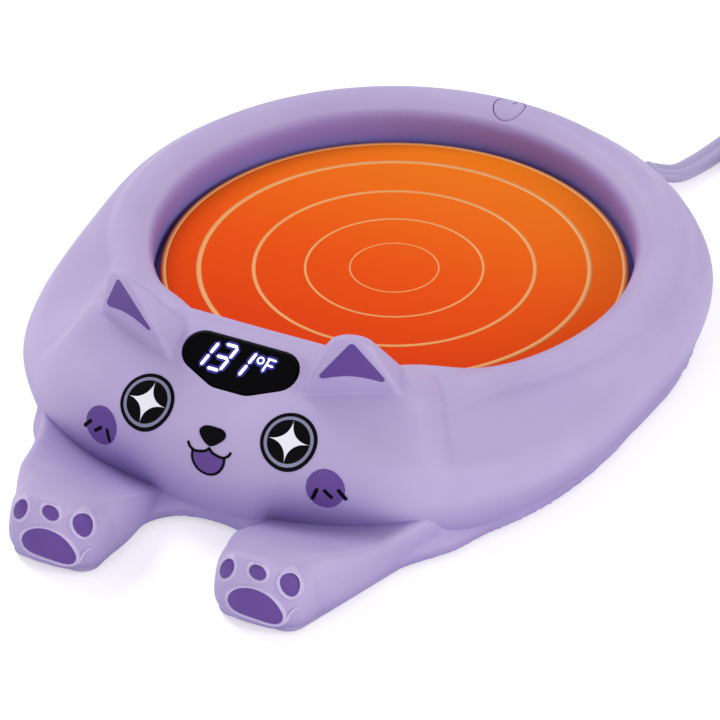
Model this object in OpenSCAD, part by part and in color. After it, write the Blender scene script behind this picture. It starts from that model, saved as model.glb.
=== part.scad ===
// Electric mug warmer with a cat-shaped body: a round hot plate that sinks a little under a mug,
// a sloping readout on the forehead, a power key on the rear rim and a flat two-core mains lead.
// Millimetres. +Z is up, the face looks along -Y, the table is at Z = 0.

/* [Hot plate] */
// Diameter of the orange plate
plate_d = 100; // [94:1:104]
// Height of the plate's top above the table
plate_top = 14.5; // [14.5:0.5:17]
// Thickness of the plate
plate_t = 1.4; // [1:0.1:1.8]
// Gap between the plate and the bowl's wall
plate_gap = 1.3; // [1:0.1:1.8]
// How far the plate sinks under a mug
plate_travel = 0.8; // [0.4:0.1:1]
// Thickness of the aluminium heat spreader
spreader_t = 0.8; // [0.5:0.1:1]
// Thickness of the heating element
heater_t = 0.8; // [0.5:0.1:1]
// Thickness of the insulation pad
insulation_t = 1.7; // [1.2:0.1:2]
// Thickness of the carrier's base
carrier_t = 1.5; // [1.2:0.1:1.8]

/* [Body] */
// Half of the body's width
side_w = 67.3; // [66:0.5:72]
// From the plate's centre to the rear of the body
rear_len = 66.5; // [66:0.5:72]
// From the plate's centre to the front of the face
face_len = 87.2; // [85:0.5:92]
// Squareness of the front half's outline
face_power = 2.9; // [2.4:0.1:3.2]
// Height of the ring around the bowl
ring_top = 23.4; // [22.5:0.5:26]
// Radial distance from the bowl's wall to the top of the ring
ring_lip = 5.1; // [4.5:0.1:6]
// Height of the top of the head
head_top = 37; // [34:0.5:40]
// Height of the seam between the two shells
seam_z = 4; // [3.8:0.1:5]
// Gap in the seam
seam_gap = 0.3; // [0.2:0.1:0.5]
// Wall thickness of the shells
wall = 2.2; // [1.6:0.1:2.4]
// Thickness of the bottom cover
cover_t = 2; // [1.6:0.1:2.2]
// Clearance around the bottom cover
cover_gap = 0.25; // [0.15:0.05:0.4]

/* [Ears] */
// Distance of each ear's middle from the centre line
ear_x = 25.5; // [23:0.5:28]
// Width of an ear at its foot
ear_w = 19.6; // [17:0.2:22]
// Height of an ear above its foot
ear_h = 14.6; // [12:0.2:16]
// Depth of an ear at its foot
ear_depth = 11; // [8:0.5:13]
// Thickness of an ear at its tip
ear_tip_t = 4.2; // [3:0.2:5]

/* [Legs] */
// From the plate's centre to the front of the paws
paw_len = 115; // [112:0.5:118]
// Distance of each paw's middle from the centre line
paw_x = 23.8; // [22.5:0.1:25]
// Width of a paw
paw_w = 24.4; // [22:0.2:26]
// Height of a paw
paw_h = 17.6; // [16:0.2:19]

/* [Readout] */
// Width of the readout window
window_w = 26.5; // [24:0.5:28]
// Height of the readout window along its slope
window_h = 12; // [11:0.5:13]
// Thickness of the window
window_t = 2; // [1.5:0.1:2.4]
// Slope of the window from level, in degrees
window_tilt = 38; // [34:1:42]
// Clearance around the window
window_gap = 0.15; // [0.1:0.05:0.3]

/* [Power key] */
// Diameter of the key
key_d = 6.6; // [5.6:0.2:7]
// Clearance around the key
key_gap = 0.3; // [0.2:0.05:0.4]
// How far the key goes in
key_travel = 0.5; // [0.3:0.1:0.6]

/* [Feet and screws] */
// Diameter of a rubber foot
foot_d = 10; // [8:0.5:12]
// How far a foot stands out below the cover
foot_proud = 0.8; // [0.6:0.1:1.2]
// Depth of a foot's seat in the cover
foot_seat = 0.7; // [0.5:0.1:0.9]
// Diameter of a cover screw's thread
screw_d = 2.6; // [2.2:0.1:3]
// Diameter of a cover screw's head
screw_head_d = 5; // [4.4:0.1:5.6]
// Height of a cover screw's head
screw_head_h = 1.2; // [1:0.1:1.4]
// Diameter of a board screw's thread
board_screw_d = 2; // [1.6:0.1:2.2]

/* [Circuit board] */
// Width of the main board
board_w = 64; // [60:1:68]
// Depth of the main board
board_l = 20; // [18:0.5:21]
// Thickness of the main board
board_t = 1.6; // [1.2:0.1:2]
// Height of the main board's underside above the cover
board_lift = 3.2; // [2.5:0.1:4]

/* [Mains lead] */
// Width of the flat two-core lead
cord_w = 5.4; // [5:0.1:5.6]
// Thickness of the lead
cord_t = 2.8; // [2.4:0.1:2.9]
// Diameter of the strain relief at the shell
relief_d = 8.4; // [7.6:0.2:9]
// Length of the strain relief outside the shell
relief_len = 12.5; // [12:0.5:13.5]
// Length of the plug's body
plug_len = 26; // [24:1:28]
// Width of the plug's body
plug_w = 22; // [20:1:24]
// Thickness of the plug's body
plug_t = 13; // [12:0.5:14]
// Length of a plug blade outside the body
blade_len = 16.5; // [15.9:0.1:18.3]
// Width of a plug blade
blade_w = 6.3; // [6.2:0.05:6.5]
// Thickness of a plug blade
blade_t = 1.5; // [1.4:0.05:1.65]
// Distance between the blades' middles
blade_pitch = 12.7; // [12.6:0.05:12.8]

/* [Hidden] */

// Overall frame: the origin is under the middle of the body's box.
bowl_r = plate_d / 2 + plate_gap;
plate_y = (paw_len - rear_len) / 2;
base_z = foot_proud;
cover_top = base_z + cover_t;

// Small clearances that several pieces share.
seat_gap = 0.1;
run_gap = 0.15;
fn_round = 48;
fn_small = 24;

function mix(a, b, t) = a + (b - a) * t;
function clamp01(t) = max(0, min(1, t));
function smooth(t) = let (u = clamp01(t)) u * u * (3 - 2 * u);

// ---- The body's shape, in polar form about the plate's centre ----
// "turn" is the angle from straight ahead. The outline is a circle-like rear half and a squarer
// front half that meet at the sides.
function outline_r(turn, inset = 0) =
    let (
        c = cos(turn),
        p = mix(2, face_power, smooth(2 * c)),
        along = (c > 0 ? face_len : rear_len) - inset,
        across = side_w - inset
    )
    pow(pow(abs(sin(turn)) / across, p) + pow(abs(c) / along, p), -1 / p);

// How much of the head there is at this angle, and how its top falls away to the sides.
head_full_turn = 26;
head_end_turn = 58;
function off_front(turn) = abs(turn > 180 ? turn - 360 : turn);
function head_share(turn) =
    smooth((head_end_turn - off_front(turn)) / (head_end_turn - head_full_turn));

head_ridge = bowl_r + 13.7;
head_half_w = side_w - 20.3;
function head_side_fall(turn) =
    let (x = min(0.94, head_ridge * tan(min(off_front(turn), 40)) / head_half_w))
    1 - pow(1 - pow(x, 3), 1 / 3);

// The ring's section, from the foot of the shell outwards, up and over into the bowl:
// each point is [radius, height].
crease_r = bowl_r + 10.7;
band_inset = 3.4;
wall_top = ring_top - ring_lip + 0.6;
function ring_section(turn) =
    let (edge = outline_r(turn), spare = edge - crease_r)
    [
        [edge - band_inset, seam_z],
        [edge - 1.2, 7],
        [edge, 11.5],
        [edge - 0.10 * spare - 0.4, 15],
        [edge - 0.26 * spare - 0.8, 17.6],
        [mix(edge, crease_r, 0.66), 19],
        [crease_r, 19.9],
        [bowl_r + ring_lip + 3.2, ring_top - 1],
        [bowl_r + ring_lip, ring_top],
        [bowl_r + 2, ring_top - 1.5],
        [bowl_r + 0.4, ring_top - 3],
        [bowl_r, wall_top - 1]
    ];

// The head's section at the same count of points.
function head_section(turn) =
    let (
        edge = outline_r(turn),
        ridge = min(head_ridge / cos(min(off_front(turn), 40)), edge - 13),
        span = edge - ridge,
        top = mix(head_top, 20, head_side_fall(turn)),
        rise = (top - 14) / (37 - 14)
    )
    [
        [edge - band_inset, seam_z],
        [edge - 1, 8],
        [edge, 13],
        [edge - 0.4, 14 + 4 * rise],
        [edge - 0.12 * span, 14 + 9.3 * rise],
        [edge - 0.44 * span, 14 + 15.5 * rise],
        [edge - 0.74 * span, 14 + 20.6 * rise],
        [ridge + 0.5, top],
        [mix(ridge, bowl_r, 0.27), mix(top, ring_top, 0.11)],
        [mix(ridge, bowl_r, 0.62), mix(top, ring_top, 0.6)],
        [bowl_r + 1.4, ring_top + 0.2],
        [bowl_r, wall_top]
    ];

function body_section(turn) =
    let (w = head_share(turn), ring = ring_section(turn), head = head_section(turn))
    [for (i = [0:len(ring) - 1]) mix(ring[i], head[i], w)];

// A smooth curve through the points of a section.
function spline_at(p0, p1, p2, p3, t) =
    0.5 * (2 * p1 + (p2 - p0) * t + (2 * p0 - 5 * p1 + 4 * p2 - p3) * t * t
        + (3 * p1 - p0 - 3 * p2 + p3) * t * t * t);
function spline(points, steps) =
    let (last = len(points) - 1)
    concat(
        [for (i = [0:last - 1]) for (s = [0:steps - 1])
            spline_at(points[max(0, i - 1)], points[i], points[i + 1], points[min(last, i + 2)],
                s / steps)],
        [points[last]]
    );

// Moves a section's points inwards by a wall's thickness, square to the curve.
function inset_section(points, by) =
    let (last = len(points) - 1)
    [for (i = [0:last])
        let (
            d = points[min(last, i + 1)] - points[max(0, i - 1)],
            n = [-d[1], d[0]] / norm(d)
        )
        points[i] + n * by];

function at_turn(turn, radius, z) = [radius * sin(turn), plate_y - radius * cos(turn), z];

// A closed ring of sections around the plate's centre: each section is a closed loop of points.
module section_ring(sections) {
    turns = len(sections);
    count = len(sections[0]);
    points = [for (k = [0:turns - 1]) each [for (p = sections[k]) at_turn(360 * k / turns, p[0], p[1])]];
    faces = [for (k = [0:turns - 1]) for (i = [0:count - 1])
        let (k2 = (k + 1) % turns, i2 = (i + 1) % count)
        each [[k * count + i, k * count + i2, k2 * count + i2],
              [k * count + i, k2 * count + i2, k2 * count + i]]];
    polyhedron(points, faces, convexity = 8);
}

shell_turns = 72;
flange_top = plate_top - plate_t - spreader_t - heater_t - 0.5;
flange_t = 1.5;
flange_r = bowl_r - 3;
shell_foot = seam_z + seam_gap / 2;

function shell_loop(turn) =
    let (
        section = body_section(turn),
        outer = spline(section, 2),
        inner = inset_section(section, wall),
        count = len(inner)
    )
    concat(
        [[outer[0][0], shell_foot]],
        [for (i = [1:len(outer) - 1]) outer[i]],
        [[bowl_r, flange_top - flange_t]],
        [[bowl_r + wall, flange_top - flange_t]],
        [for (i = [count - 1:-1:1]) inner[i]],
        [[outer[0][0] - wall, shell_foot]]
    );

// ---- Outline shapes of the base ----
module body_outline(inset) {
    polygon([for (turn = [0:5:355])
        let (r = outline_r(turn, inset)) [r * sin(turn), plate_y - r * cos(turn)]]);
}

// The leg's plan: from the paw back under the body.
leg_root_in = 17;
leg_root_out = side_w - 25.3;
leg_root_len = face_len - 11.2;
leg_root_in_h = 3.2;
leg_root_out_h = 7;
module leg_plan(side, inset) {
    hull() {
        translate([side * (paw_x - paw_w / 2 + 6.5), plate_y - paw_len + 6.5])
            circle(r = 6.5 - inset, $fn = 32);
        translate([side * (paw_x + paw_w / 2 - 6.5), plate_y - paw_len + 6.5])
            circle(r = 6.5 - inset, $fn = 32);
        translate([side * leg_root_in, plate_y - leg_root_len])
            circle(r = 6.5 - inset, $fn = 32);
        translate([side * leg_root_out, plate_y - leg_root_len + 8])
            circle(r = 6.5 - inset, $fn = 32);
    }
}

// One leg as a solid: a rounded paw in front, sinking towards the body.
module leg_solid(side, inset) {
    top_r = 8;
    hull() {
        for (end = [-1, 1])
            translate([side * paw_x + end * (paw_w / 2 - top_r), plate_y - paw_len + 12.4, paw_h - top_r])
                sphere(r = top_r - inset, $fn = 20);
        for (end = [-1, 1])
            translate([side * paw_x + end * (paw_w / 2 - 6.5), plate_y - paw_len + 6.5, base_z]) {
                cylinder(r = 4.7 - inset, h = 1, $fn = 20);
                translate([0, 0, 2.5])
                    cylinder(r = 6.5 - inset, h = 4.5, $fn = 20);
            }
        translate([side * leg_root_in, plate_y - leg_root_len, base_z])
            cylinder(r = 6 - inset, h = leg_root_in_h - inset, $fn = 20);
        translate([side * leg_root_out, plate_y - leg_root_len + 8, base_z])
            cylinder(r = 6 - inset, h = leg_root_out_h - inset, $fn = 20);
    }
}

// The space that the upper shell fills, a seam gap larger: what the legs are trimmed by.
module body_core() {
    section_ring([for (k = [0:shell_turns - 1])
        let (turn = 360 * k / shell_turns, outer = inset_section(body_section(turn), -seam_gap))
        concat(
            [[outline_r(turn) - band_inset + seam_gap, seam_z - seam_gap / 2]],
            [for (i = [1:len(outer) - 1]) outer[i]],
            [[bowl_r - 4, wall_top], [bowl_r - 4, seam_z - seam_gap / 2]]
        )]);
}

// ---- Upper shell ----
ear_foot_z = 34.3;
ear_foot_len = bowl_r + 20.1;
ear_turn = 21;
boss_d = 7;
boss_r = bowl_r + wall + boss_d / 2 - 0.6;
boss_turns = [-135, -58, 58, 135];
boss_top = ring_top - wall - 1.5;
screw_bite = 8;

module at_bosses() {
    for (turn = boss_turns)
        translate([boss_r * sin(turn), plate_y - boss_r * cos(turn), 0])
            children();
}

module ear_arch(thickness) {
    rotate([90, 0, 0])
        translate([0, 0, -thickness])
            linear_extrude(thickness)
                hull() {
                    translate([-ear_w / 2 + 1, 0.5])
                        circle(r = 1, $fn = 32);
                    translate([ear_w / 2 - 1, 0.5])
                        circle(r = 1, $fn = 32);
                    translate([0, ear_h - 5.2])
                        circle(r = 5.2, $fn = 32);
                }
}

module ear(side) {
    translate([side * ear_x, plate_y - ear_foot_len, ear_foot_z])
        rotate([0, 0, side * ear_turn])
            hull() {
                ear_arch(ear_tip_t);
                translate([-ear_w / 2, 0.5, -4])
                    cube([ear_w, ear_depth, 3]);
            }
}

// The window's own frame: +Z stands out of the slope, +Y runs up it.
window_len = bowl_r + 21.3;
window_z = 33.2;
module at_window() {
    translate([0, plate_y - window_len, window_z])
        rotate([window_tilt, 0, 0])
            children();
}

// Rounded trapezoid that narrows downwards.
module window_outline(grow) {
    side_r = 4.2;
    low_r = 3.4;
    hull() {
        for (end = [-1, 1]) {
            translate([end * (window_w / 2 - side_r), window_h / 2 - side_r - 0.6])
                circle(r = side_r + grow, $fn = 32);
            translate([end * 3.2, -window_h / 2 + low_r])
                circle(r = low_r + grow, $fn = 32);
        }
    }
}

key_r = bowl_r + ring_lip;
key_y = plate_y + key_r;

// The strain relief's frame: +X runs out along the lead.
relief_side = 20;
relief_at = [relief_side, plate_y + rear_len * sqrt(1 - pow(relief_side / side_w, 2)), 6.5];
relief_turn = 54;
relief_drop = 10;
relief_h = 4.8;
relief_neck = 6.6;
module at_relief() {
    translate(relief_at)
        rotate([0, relief_drop, relief_turn])
            children();
}

module upper_shell() {
    color([0.74, 0.70, 0.84])
        difference() {
            union() {
                section_ring([for (k = [0:shell_turns - 1]) shell_loop(360 * k / shell_turns)]);
                translate([0, 0, flange_top - flange_t])
                    difference() {
                        cylinder_at_plate(bowl_r + wall / 2, flange_t);
                        translate([0, 0, -1])
                            cylinder_at_plate(flange_r, flange_t + 2);
                    }
                ear(-1);
                ear(1);
                at_bosses()
                    translate([0, 0, shell_foot])
                        cylinder(d = boss_d, h = boss_top - shell_foot, $fn = fn_small);
            }
            at_bosses()
                translate([0, 0, shell_foot - 1])
                    cylinder(d = screw_d, h = screw_bite + 1, $fn = fn_small);
            at_window()
                translate([0, 0, -8])
                    linear_extrude(20)
                        window_outline(window_gap);
            translate([0, key_y, ring_top - 6])
                cylinder(d = key_d + 2 * key_gap, h = 10, $fn = fn_round);
            at_relief()
                translate([-relief_neck - 3, -relief_d / 2 - seam_gap, -8])
                    cube([relief_neck + 12, relief_d + 2 * seam_gap, 8 + relief_h / 2 + seam_gap]);
        }
}

module cylinder_at_plate(radius, height) {
    translate([0, plate_y, 0])
        cylinder(r = radius, h = height, $fn = 144);
}

// ---- Lower shell: the band under the seam and both legs ----
leg_boss_d = 6.4;
leg_boss_y = plate_y - face_len - 3.8;
leg_boss_top = 12.7;
leg_bite = 6;
module at_leg_bosses() {
    for (side = [-1, 1])
        translate([side * paw_x, leg_boss_y, 0])
            children();
}

module lower_shell() {
    band_top = seam_z - seam_gap / 2;
    color([0.76, 0.72, 0.85]) {
        difference() {
            union() {
                translate([0, 0, base_z])
                    linear_extrude(band_top - base_z)
                        body_outline(band_inset);
                for (side = [-1, 1])
                    difference() {
                        leg_solid(side, 0);
                        body_core();
                    }
            }
            for (side = [-1, 1])
                leg_solid(side, wall);
            translate([0, 0, base_z - 1])
                linear_extrude(cover_t + 1 + seat_gap)
                    cover_plan(0);
            translate([0, 0, base_z])
                linear_extrude(seam_z)
                    body_outline(band_inset + wall);
        }
        at_leg_bosses()
            difference() {
                translate([0, 0, cover_top + seat_gap])
                    cylinder(d = leg_boss_d, h = leg_boss_top - cover_top - seat_gap, $fn = fn_small);
                cylinder(d = screw_d, h = cover_top + leg_bite, $fn = fn_small);
            }
    }
}

// ---- Bottom cover with everything that stands on it ----
module cover_plan(inset) {
    body_outline(band_inset + wall + inset);
    leg_plan(-1, wall + inset);
    leg_plan(1, wall + inset);
}

guide_r = 38;
guide_turns = [60, 180, 300];
guide_d = 5;
guide_wall = 1.3;
module at_guides() {
    for (turn = guide_turns)
        translate([guide_r * sin(turn), plate_y - guide_r * cos(turn), 0])
            children();
}

foot_spots = [
    [-paw_x, plate_y - paw_len + 13], [paw_x, plate_y - paw_len + 13],
    [-29, plate_y + 44], [29, plate_y + 44]
];
board_len = (bowl_r + face_len - band_inset) / 2;
board_corners = [for (sx = [-1, 1], sy = [-1, 1])
    [sx * (board_w / 2 - 3), plate_y - board_len + sy * (board_l / 2 - 3)]];
board_z = cover_top + board_lift;
key_post_top = 11.6;
sleeve_d = 6;
clamp_back = 13.6;
clamp_at = [relief_at[0] - clamp_back * cos(relief_turn), relief_at[1] - clamp_back * sin(relief_turn)];
clamp_w = 13;
clamp_l = 3;
clamp_t = 1.2;
clamp_rest = 0.6;
clamp_screw_x = 4.8;
clamp_head_h = 0.7;
lead_d = 2;
lead_pair = 2.6;
clamp_z = cover_top + clamp_rest + lead_d + seat_gap;

module bottom_cover() {
    color([0.62, 0.57, 0.72])
        difference() {
            union() {
                translate([0, 0, base_z])
                    linear_extrude(cover_t)
                        cover_plan(cover_gap);
                at_guides()
                    translate([0, 0, base_z])
                        cylinder(r = guide_d / 2 + run_gap + guide_wall, h = guide_top - base_z,
                            $fn = fn_round);
                at_bosses()
                    translate([0, 0, base_z])
                        cylinder(d = sleeve_d, h = shell_foot - seat_gap - base_z, $fn = fn_small);
                for (spot = board_corners)
                    translate([spot[0], spot[1], base_z])
                        cylinder(d = 5, h = board_z - base_z, $fn = fn_small);
                translate([0, key_y + 0.4, base_z])
                    cylinder(d = 5, h = key_post_top - base_z, $fn = fn_small);
                translate([clamp_at[0], clamp_at[1], base_z])
                    rotate([0, 0, relief_turn])
                        translate([-clamp_l / 2, -clamp_w / 2, 0])
                            cube([clamp_l, clamp_w, cover_t + clamp_rest]);
            }
            at_guides()
                translate([0, 0, cover_top - 0.2])
                    cylinder(d = guide_d + 2 * run_gap, h = 12, $fn = fn_round);
            at_bosses()
                screw_hole();
            at_leg_bosses()
                screw_hole();
            for (spot = foot_spots)
                translate([spot[0], spot[1], base_z - 1])
                    cylinder(d = foot_d, h = 1 + foot_seat, $fn = fn_round);
            for (spot = board_corners)
                translate([spot[0], spot[1], cover_top])
                    cylinder(d = board_screw_d, h = 12, $fn = fn_small);
            for (end = [-1, 1])
                at_clamp_screw(end)
                    translate([0, 0, cover_top - 1])
                        cylinder(d = board_screw_d, h = 6, $fn = fn_small);
        }
}

module screw_hole() {
    translate([0, 0, base_z - 1])
        cylinder(d = screw_d + 2 * run_gap, h = 8, $fn = fn_small);
    translate([0, 0, base_z - 1])
        cylinder(d = screw_head_d + 2 * run_gap, h = 1 + screw_head_h + seat_gap, $fn = fn_small);
}

module at_clamp_screw(end) {
    translate([clamp_at[0], clamp_at[1], 0])
        rotate([0, 0, relief_turn])
            translate([0, end * clamp_screw_x, 0])
                children();
}

module screw(thread_d, thread_l, head_d, head_h) {
    cylinder(d = head_d, h = head_h, $fn = fn_small);
    translate([0, 0, head_h])
        cylinder(d = thread_d, h = thread_l, $fn = fn_small);
}

module shell_screws() {
    color("silver")
        at_bosses()
            translate([0, 0, base_z])
                screw(screw_d, shell_foot + screw_bite - 1 - base_z - screw_head_h, screw_head_d, screw_head_h);
}

module leg_screws() {
    color("silver")
        at_leg_bosses()
            translate([0, 0, base_z])
                screw(screw_d, cover_top + leg_bite - 1 - base_z - screw_head_h, screw_head_d, screw_head_h);
}

module rubber_feet() {
    color([0.25, 0.24, 0.27])
        for (spot = foot_spots)
            translate([spot[0], spot[1], 0])
                cylinder(d = foot_d, h = base_z + foot_seat, $fn = fn_round);
}

// ---- Hot plate: the stack that sinks under a mug ----
spreader_z = plate_top - plate_t - spreader_t;
heater_z = spreader_z - heater_t;
insulation_z = heater_z - insulation_t;
carrier_z = insulation_z - carrier_t;
guide_top = carrier_z - plate_travel - 0.4;
stack_r = flange_r - 1;

module heating_plate() {
    color([0.91, 0.36, 0.07])
        translate([0, plate_y, plate_top - plate_t])
            rotate_extrude($fn = 144)
                polygon([[0, 0], [plate_d / 2 - 0.4, 0], [plate_d / 2, 0.4], [plate_d / 2, plate_t - 0.4],
                    [plate_d / 2 - 0.4, plate_t], [0, plate_t]]);
}

module heat_spreader() {
    color("silver")
        translate([0, 0, spreader_z])
            cylinder_at_plate(stack_r, spreader_t);
}

sensor_at = [0, plate_y];
sensor_d = 4;
fuse_at = [18, plate_y + 4];
fuse_d = 3.6;
fuse_len = 10;

module heater_element() {
    color([0.72, 0.62, 0.38])
        translate([0, 0, heater_z])
            cylinder_at_plate(stack_r - 2.2, heater_t);
}

module sensor_window(grow) {
    translate([sensor_at[0], sensor_at[1], carrier_z - 1])
        cylinder(d = sensor_d + 2 * grow, h = 12, $fn = fn_small);
    translate([fuse_at[0] - fuse_len / 2 - grow, fuse_at[1] - fuse_d / 2 - grow, carrier_z - 1])
        cube([fuse_len + 2 * grow, fuse_d + 2 * grow, 12]);
}

module insulation_pad() {
    color([0.93, 0.91, 0.84])
        difference() {
            translate([0, 0, insulation_z])
                cylinder_at_plate(stack_r - 2.2, insulation_t);
            sensor_window(0.8);
        }
}

module temperature_sensor() {
    color([0.85, 0.55, 0.2])
        translate([sensor_at[0], sensor_at[1], carrier_z])
            cylinder(d = sensor_d, h = heater_z - carrier_z, $fn = fn_small);
}

module thermal_fuse() {
    color([0.8, 0.8, 0.75])
        translate([fuse_at[0] - fuse_len / 2, fuse_at[1], heater_z - fuse_d / 2])
            rotate([0, 90, 0])
                cylinder(d = fuse_d, h = fuse_len, $fn = fn_small);
}

presser_at = [-18, plate_y - 12];
carrier_lip_r = bowl_r - 1;
carrier_bolts = [45, 135, 225, 315];
module plate_carrier() {
    lip_t = 1.1;
    color([0.3, 0.28, 0.33])
        difference() {
            union() {
                translate([0, 0, carrier_z])
                    cylinder_at_plate(stack_r, spreader_z - carrier_z);
                translate([0, 0, carrier_z])
                    cylinder_at_plate(carrier_lip_r, lip_t);
                at_guides()
                    translate([0, 0, cover_top + plate_travel + 0.2])
                        cylinder(d = guide_d, h = carrier_z - cover_top - plate_travel, $fn = fn_round);
                translate([presser_at[0], presser_at[1], plunger_top])
                    cylinder(d = 5, h = carrier_z - plunger_top + 0.2, $fn = fn_small);
            }
            translate([0, 0, insulation_z])
                cylinder_at_plate(stack_r - 2, 10);
            sensor_window(0.8);
        }
}

module carrier_screws() {
    color("silver")
        for (turn = carrier_bolts)
            translate([(stack_r - 5) * sin(turn), plate_y - (stack_r - 5) * cos(turn), carrier_z - 0.9])
                cylinder(d = 4, h = 0.9, $fn = fn_small);
}

// A compression spring as one wire swept along a helix.
spring_wire = 0.8;
spring_sides = 5;
module coil_spring(mid_r, height, turns) {
    steps = turns * 12;
    points = [for (k = [0:steps])
        let (a = 360 * k / 12, z = spring_wire / 2 + (height - spring_wire) * k / steps)
        each [for (s = [0:spring_sides - 1])
            let (b = 360 * s / spring_sides, r = mid_r + spring_wire / 2 * cos(b))
            [r * cos(a), r * sin(a), z + spring_wire / 2 * sin(b)]]];
    polyhedron(points, tube_faces(steps + 1, spring_sides), convexity = 6);
}

// Faces of a tube of rings, with both ends closed.
function tube_faces(rings, sides) = concat(
    [[for (s = [0:sides - 1]) s]],
    [for (k = [0:rings - 2]) for (s = [0:sides - 1])
        let (s2 = (s + 1) % sides)
        [k * sides + s, (k + 1) * sides + s, (k + 1) * sides + s2, k * sides + s2]],
    [[for (s = [sides - 1:-1:0]) (rings - 1) * sides + s]]
);

module plate_springs() {
    color("silver")
        at_guides()
            translate([0, 0, cover_top])
                coil_spring(guide_d / 2 + run_gap + guide_wall + 0.3 + spring_wire / 2,
                    carrier_z - seat_gap - cover_top, 3);
}

// ---- Weight switch under the plate ----
switch_size = [12.8, 5.8, 2.6];
plunger_d = 2.4;
plunger_top = cover_top + switch_size[2] + 1.4;
module weight_switch() {
    color([0.2, 0.2, 0.22])
        difference() {
            translate([presser_at[0] - switch_size[0] / 2, presser_at[1] - switch_size[1] / 2, cover_top])
                cube(switch_size);
            translate([presser_at[0], presser_at[1], cover_top + 0.5])
                cylinder(d = plunger_d + 0.1, h = 8, $fn = fn_small);
        }
}

module switch_plunger() {
    color([0.8, 0.2, 0.2])
        translate([presser_at[0], presser_at[1], cover_top + 0.5 + plate_travel + 0.1])
            cylinder(d = plunger_d, h = plunger_top - seat_gap - cover_top - 0.6 - plate_travel,
                $fn = fn_small);
}

// ---- Main board in the head ----
board_y = plate_y - board_len;
board_top = board_z + board_t;
terminal_x = -2.5;
module main_board() {
    color([0.16, 0.42, 0.24])
        difference() {
            translate([-board_w / 2, board_y - board_l / 2, board_z])
                cube([board_w, board_l, board_t]);
            for (spot = board_corners)
                translate([spot[0], spot[1], board_z - 1])
                    cylinder(d = board_screw_d + 2 * run_gap, h = 6, $fn = fn_small);
        }
}

module board_screws() {
    color("silver")
        for (spot = board_corners)
            translate([spot[0], spot[1], board_top + 1.2])
                mirror([0, 0, 1])
                    screw(board_screw_d, board_t + board_lift - 0.4, board_screw_d + 1.8, 1.2);
}

module relay() {
    color([0.15, 0.35, 0.62])
        translate([-24, board_y - 7, board_top])
            cube([15, 14, 15]);
}

module transformer() {
    color([0.93, 0.78, 0.25])
        translate([8, board_y - 8, board_top])
            cube([16, 16, 13]);
}

module capacitor() {
    color([0.2, 0.22, 0.3])
        translate([1, board_y - 4.6, board_top])
            cylinder(d = 8, h = 12, $fn = fn_small);
}

module mains_terminal() {
    color([0.25, 0.55, 0.35])
        translate([terminal_x - 5, board_y + 3, board_top])
            cube([10, 6, 8]);
}

module mains_fuse() {
    color([0.85, 0.88, 0.9])
        translate([27.6, board_y - 5, board_top + 2.6])
            rotate([-90, 0, 0])
                cylinder(d = 5.2, h = 9, $fn = fn_small);
}

// ---- Readout ----
module display_window() {
    color([0.03, 0.03, 0.04])
        at_window()
            translate([0, 0, -window_t])
                linear_extrude(window_t)
                    window_outline(0);
}

led_size = [21, 9, 3.6];
led_gap = 0.4;
led_board = [23, 10.8, 1.2];
module led_display() {
    color([0.12, 0.12, 0.14])
        at_window()
            translate([-led_size[0] / 2, -led_size[1] / 2, -window_t - led_gap - led_size[2]])
                cube(led_size);
}

module display_board() {
    color([0.16, 0.42, 0.24])
        at_window()
            translate([-led_board[0] / 2, -led_board[1] / 2, -window_t - led_gap - led_size[2] - led_board[2]])
                cube(led_board);
}

// ---- Power key on the rear rim ----
key_wing = [9.6, 3.2, 1];
key_under = ring_top - wall - 1;
tact_size = [4.4, 4.4, 3.4];
key_board_t = 1.2;
tact_top = key_post_top + key_board_t + tact_size[2];
module power_button() {
    color([0.74, 0.70, 0.84])
        translate([0, key_y, 0]) {
            translate([0, 0, key_under])
                cylinder(d = key_d, h = ring_top - key_under, $fn = fn_round);
            translate([-key_wing[0] / 2, -key_wing[1] / 2 + 0.4, key_under - key_wing[2]])
                cube(key_wing);
            translate([0, 0, tact_top + seat_gap + key_travel])
                cylinder(d = 3, h = key_under - tact_top - seat_gap - key_travel, $fn = fn_small);
        }
}

module button_board() {
    color([0.16, 0.42, 0.24])
        translate([-7, key_y - 2.6, key_post_top])
            cube([14, 6, key_board_t]);
}

module button_switch() {
    color([0.2, 0.2, 0.22])
        translate([-tact_size[0] / 2, key_y - tact_size[1] / 2, key_post_top + key_board_t])
            cube(tact_size);
}

// ---- Lead clamp and inner wiring ----
module cable_clamp() {
    color([0.3, 0.28, 0.33])
        translate([clamp_at[0], clamp_at[1], clamp_z])
            rotate([0, 0, relief_turn])
                difference() {
                    translate([-clamp_l / 2, -clamp_w / 2, 0])
                        cube([clamp_l, clamp_w, clamp_t]);
                    for (end = [-1, 1])
                        translate([0, end * clamp_screw_x, -1])
                            cylinder(d = board_screw_d + 2 * run_gap, h = 4, $fn = fn_small);
                }
}

module clamp_screws() {
    color("silver")
        for (end = [-1, 1])
            at_clamp_screw(end)
                translate([0, 0, clamp_z + clamp_t + clamp_head_h])
                    mirror([0, 0, 1])
                        screw(board_screw_d, clamp_t + lead_d + clamp_rest, board_screw_d + 1.4, clamp_head_h);
}

// A tube along a route: "across" and "high" are its width and thickness.
function route_dir(route, i) =
    let (d = route[min(len(route) - 1, i + 1)] - route[max(0, i - 1)]) d / norm(d);
module swept_tube(route, across, high, sides) {
    points = [for (i = [0:len(route) - 1])
        let (
            d = route_dir(route, i),
            side = cross([0, 0, 1], d),
            s = norm(side) < 0.05 ? [1, 0, 0] : side / norm(side),
            up = cross(d, s)
        )
        each [for (k = [0:sides - 1])
            let (a = 360 * (k + 0.5) / sides)
            route[i] + s * across / 2 * cos(a) + up * high / 2 * sin(a)]];
    polyhedron(points, tube_faces(len(route), sides), convexity = 8);
}

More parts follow.
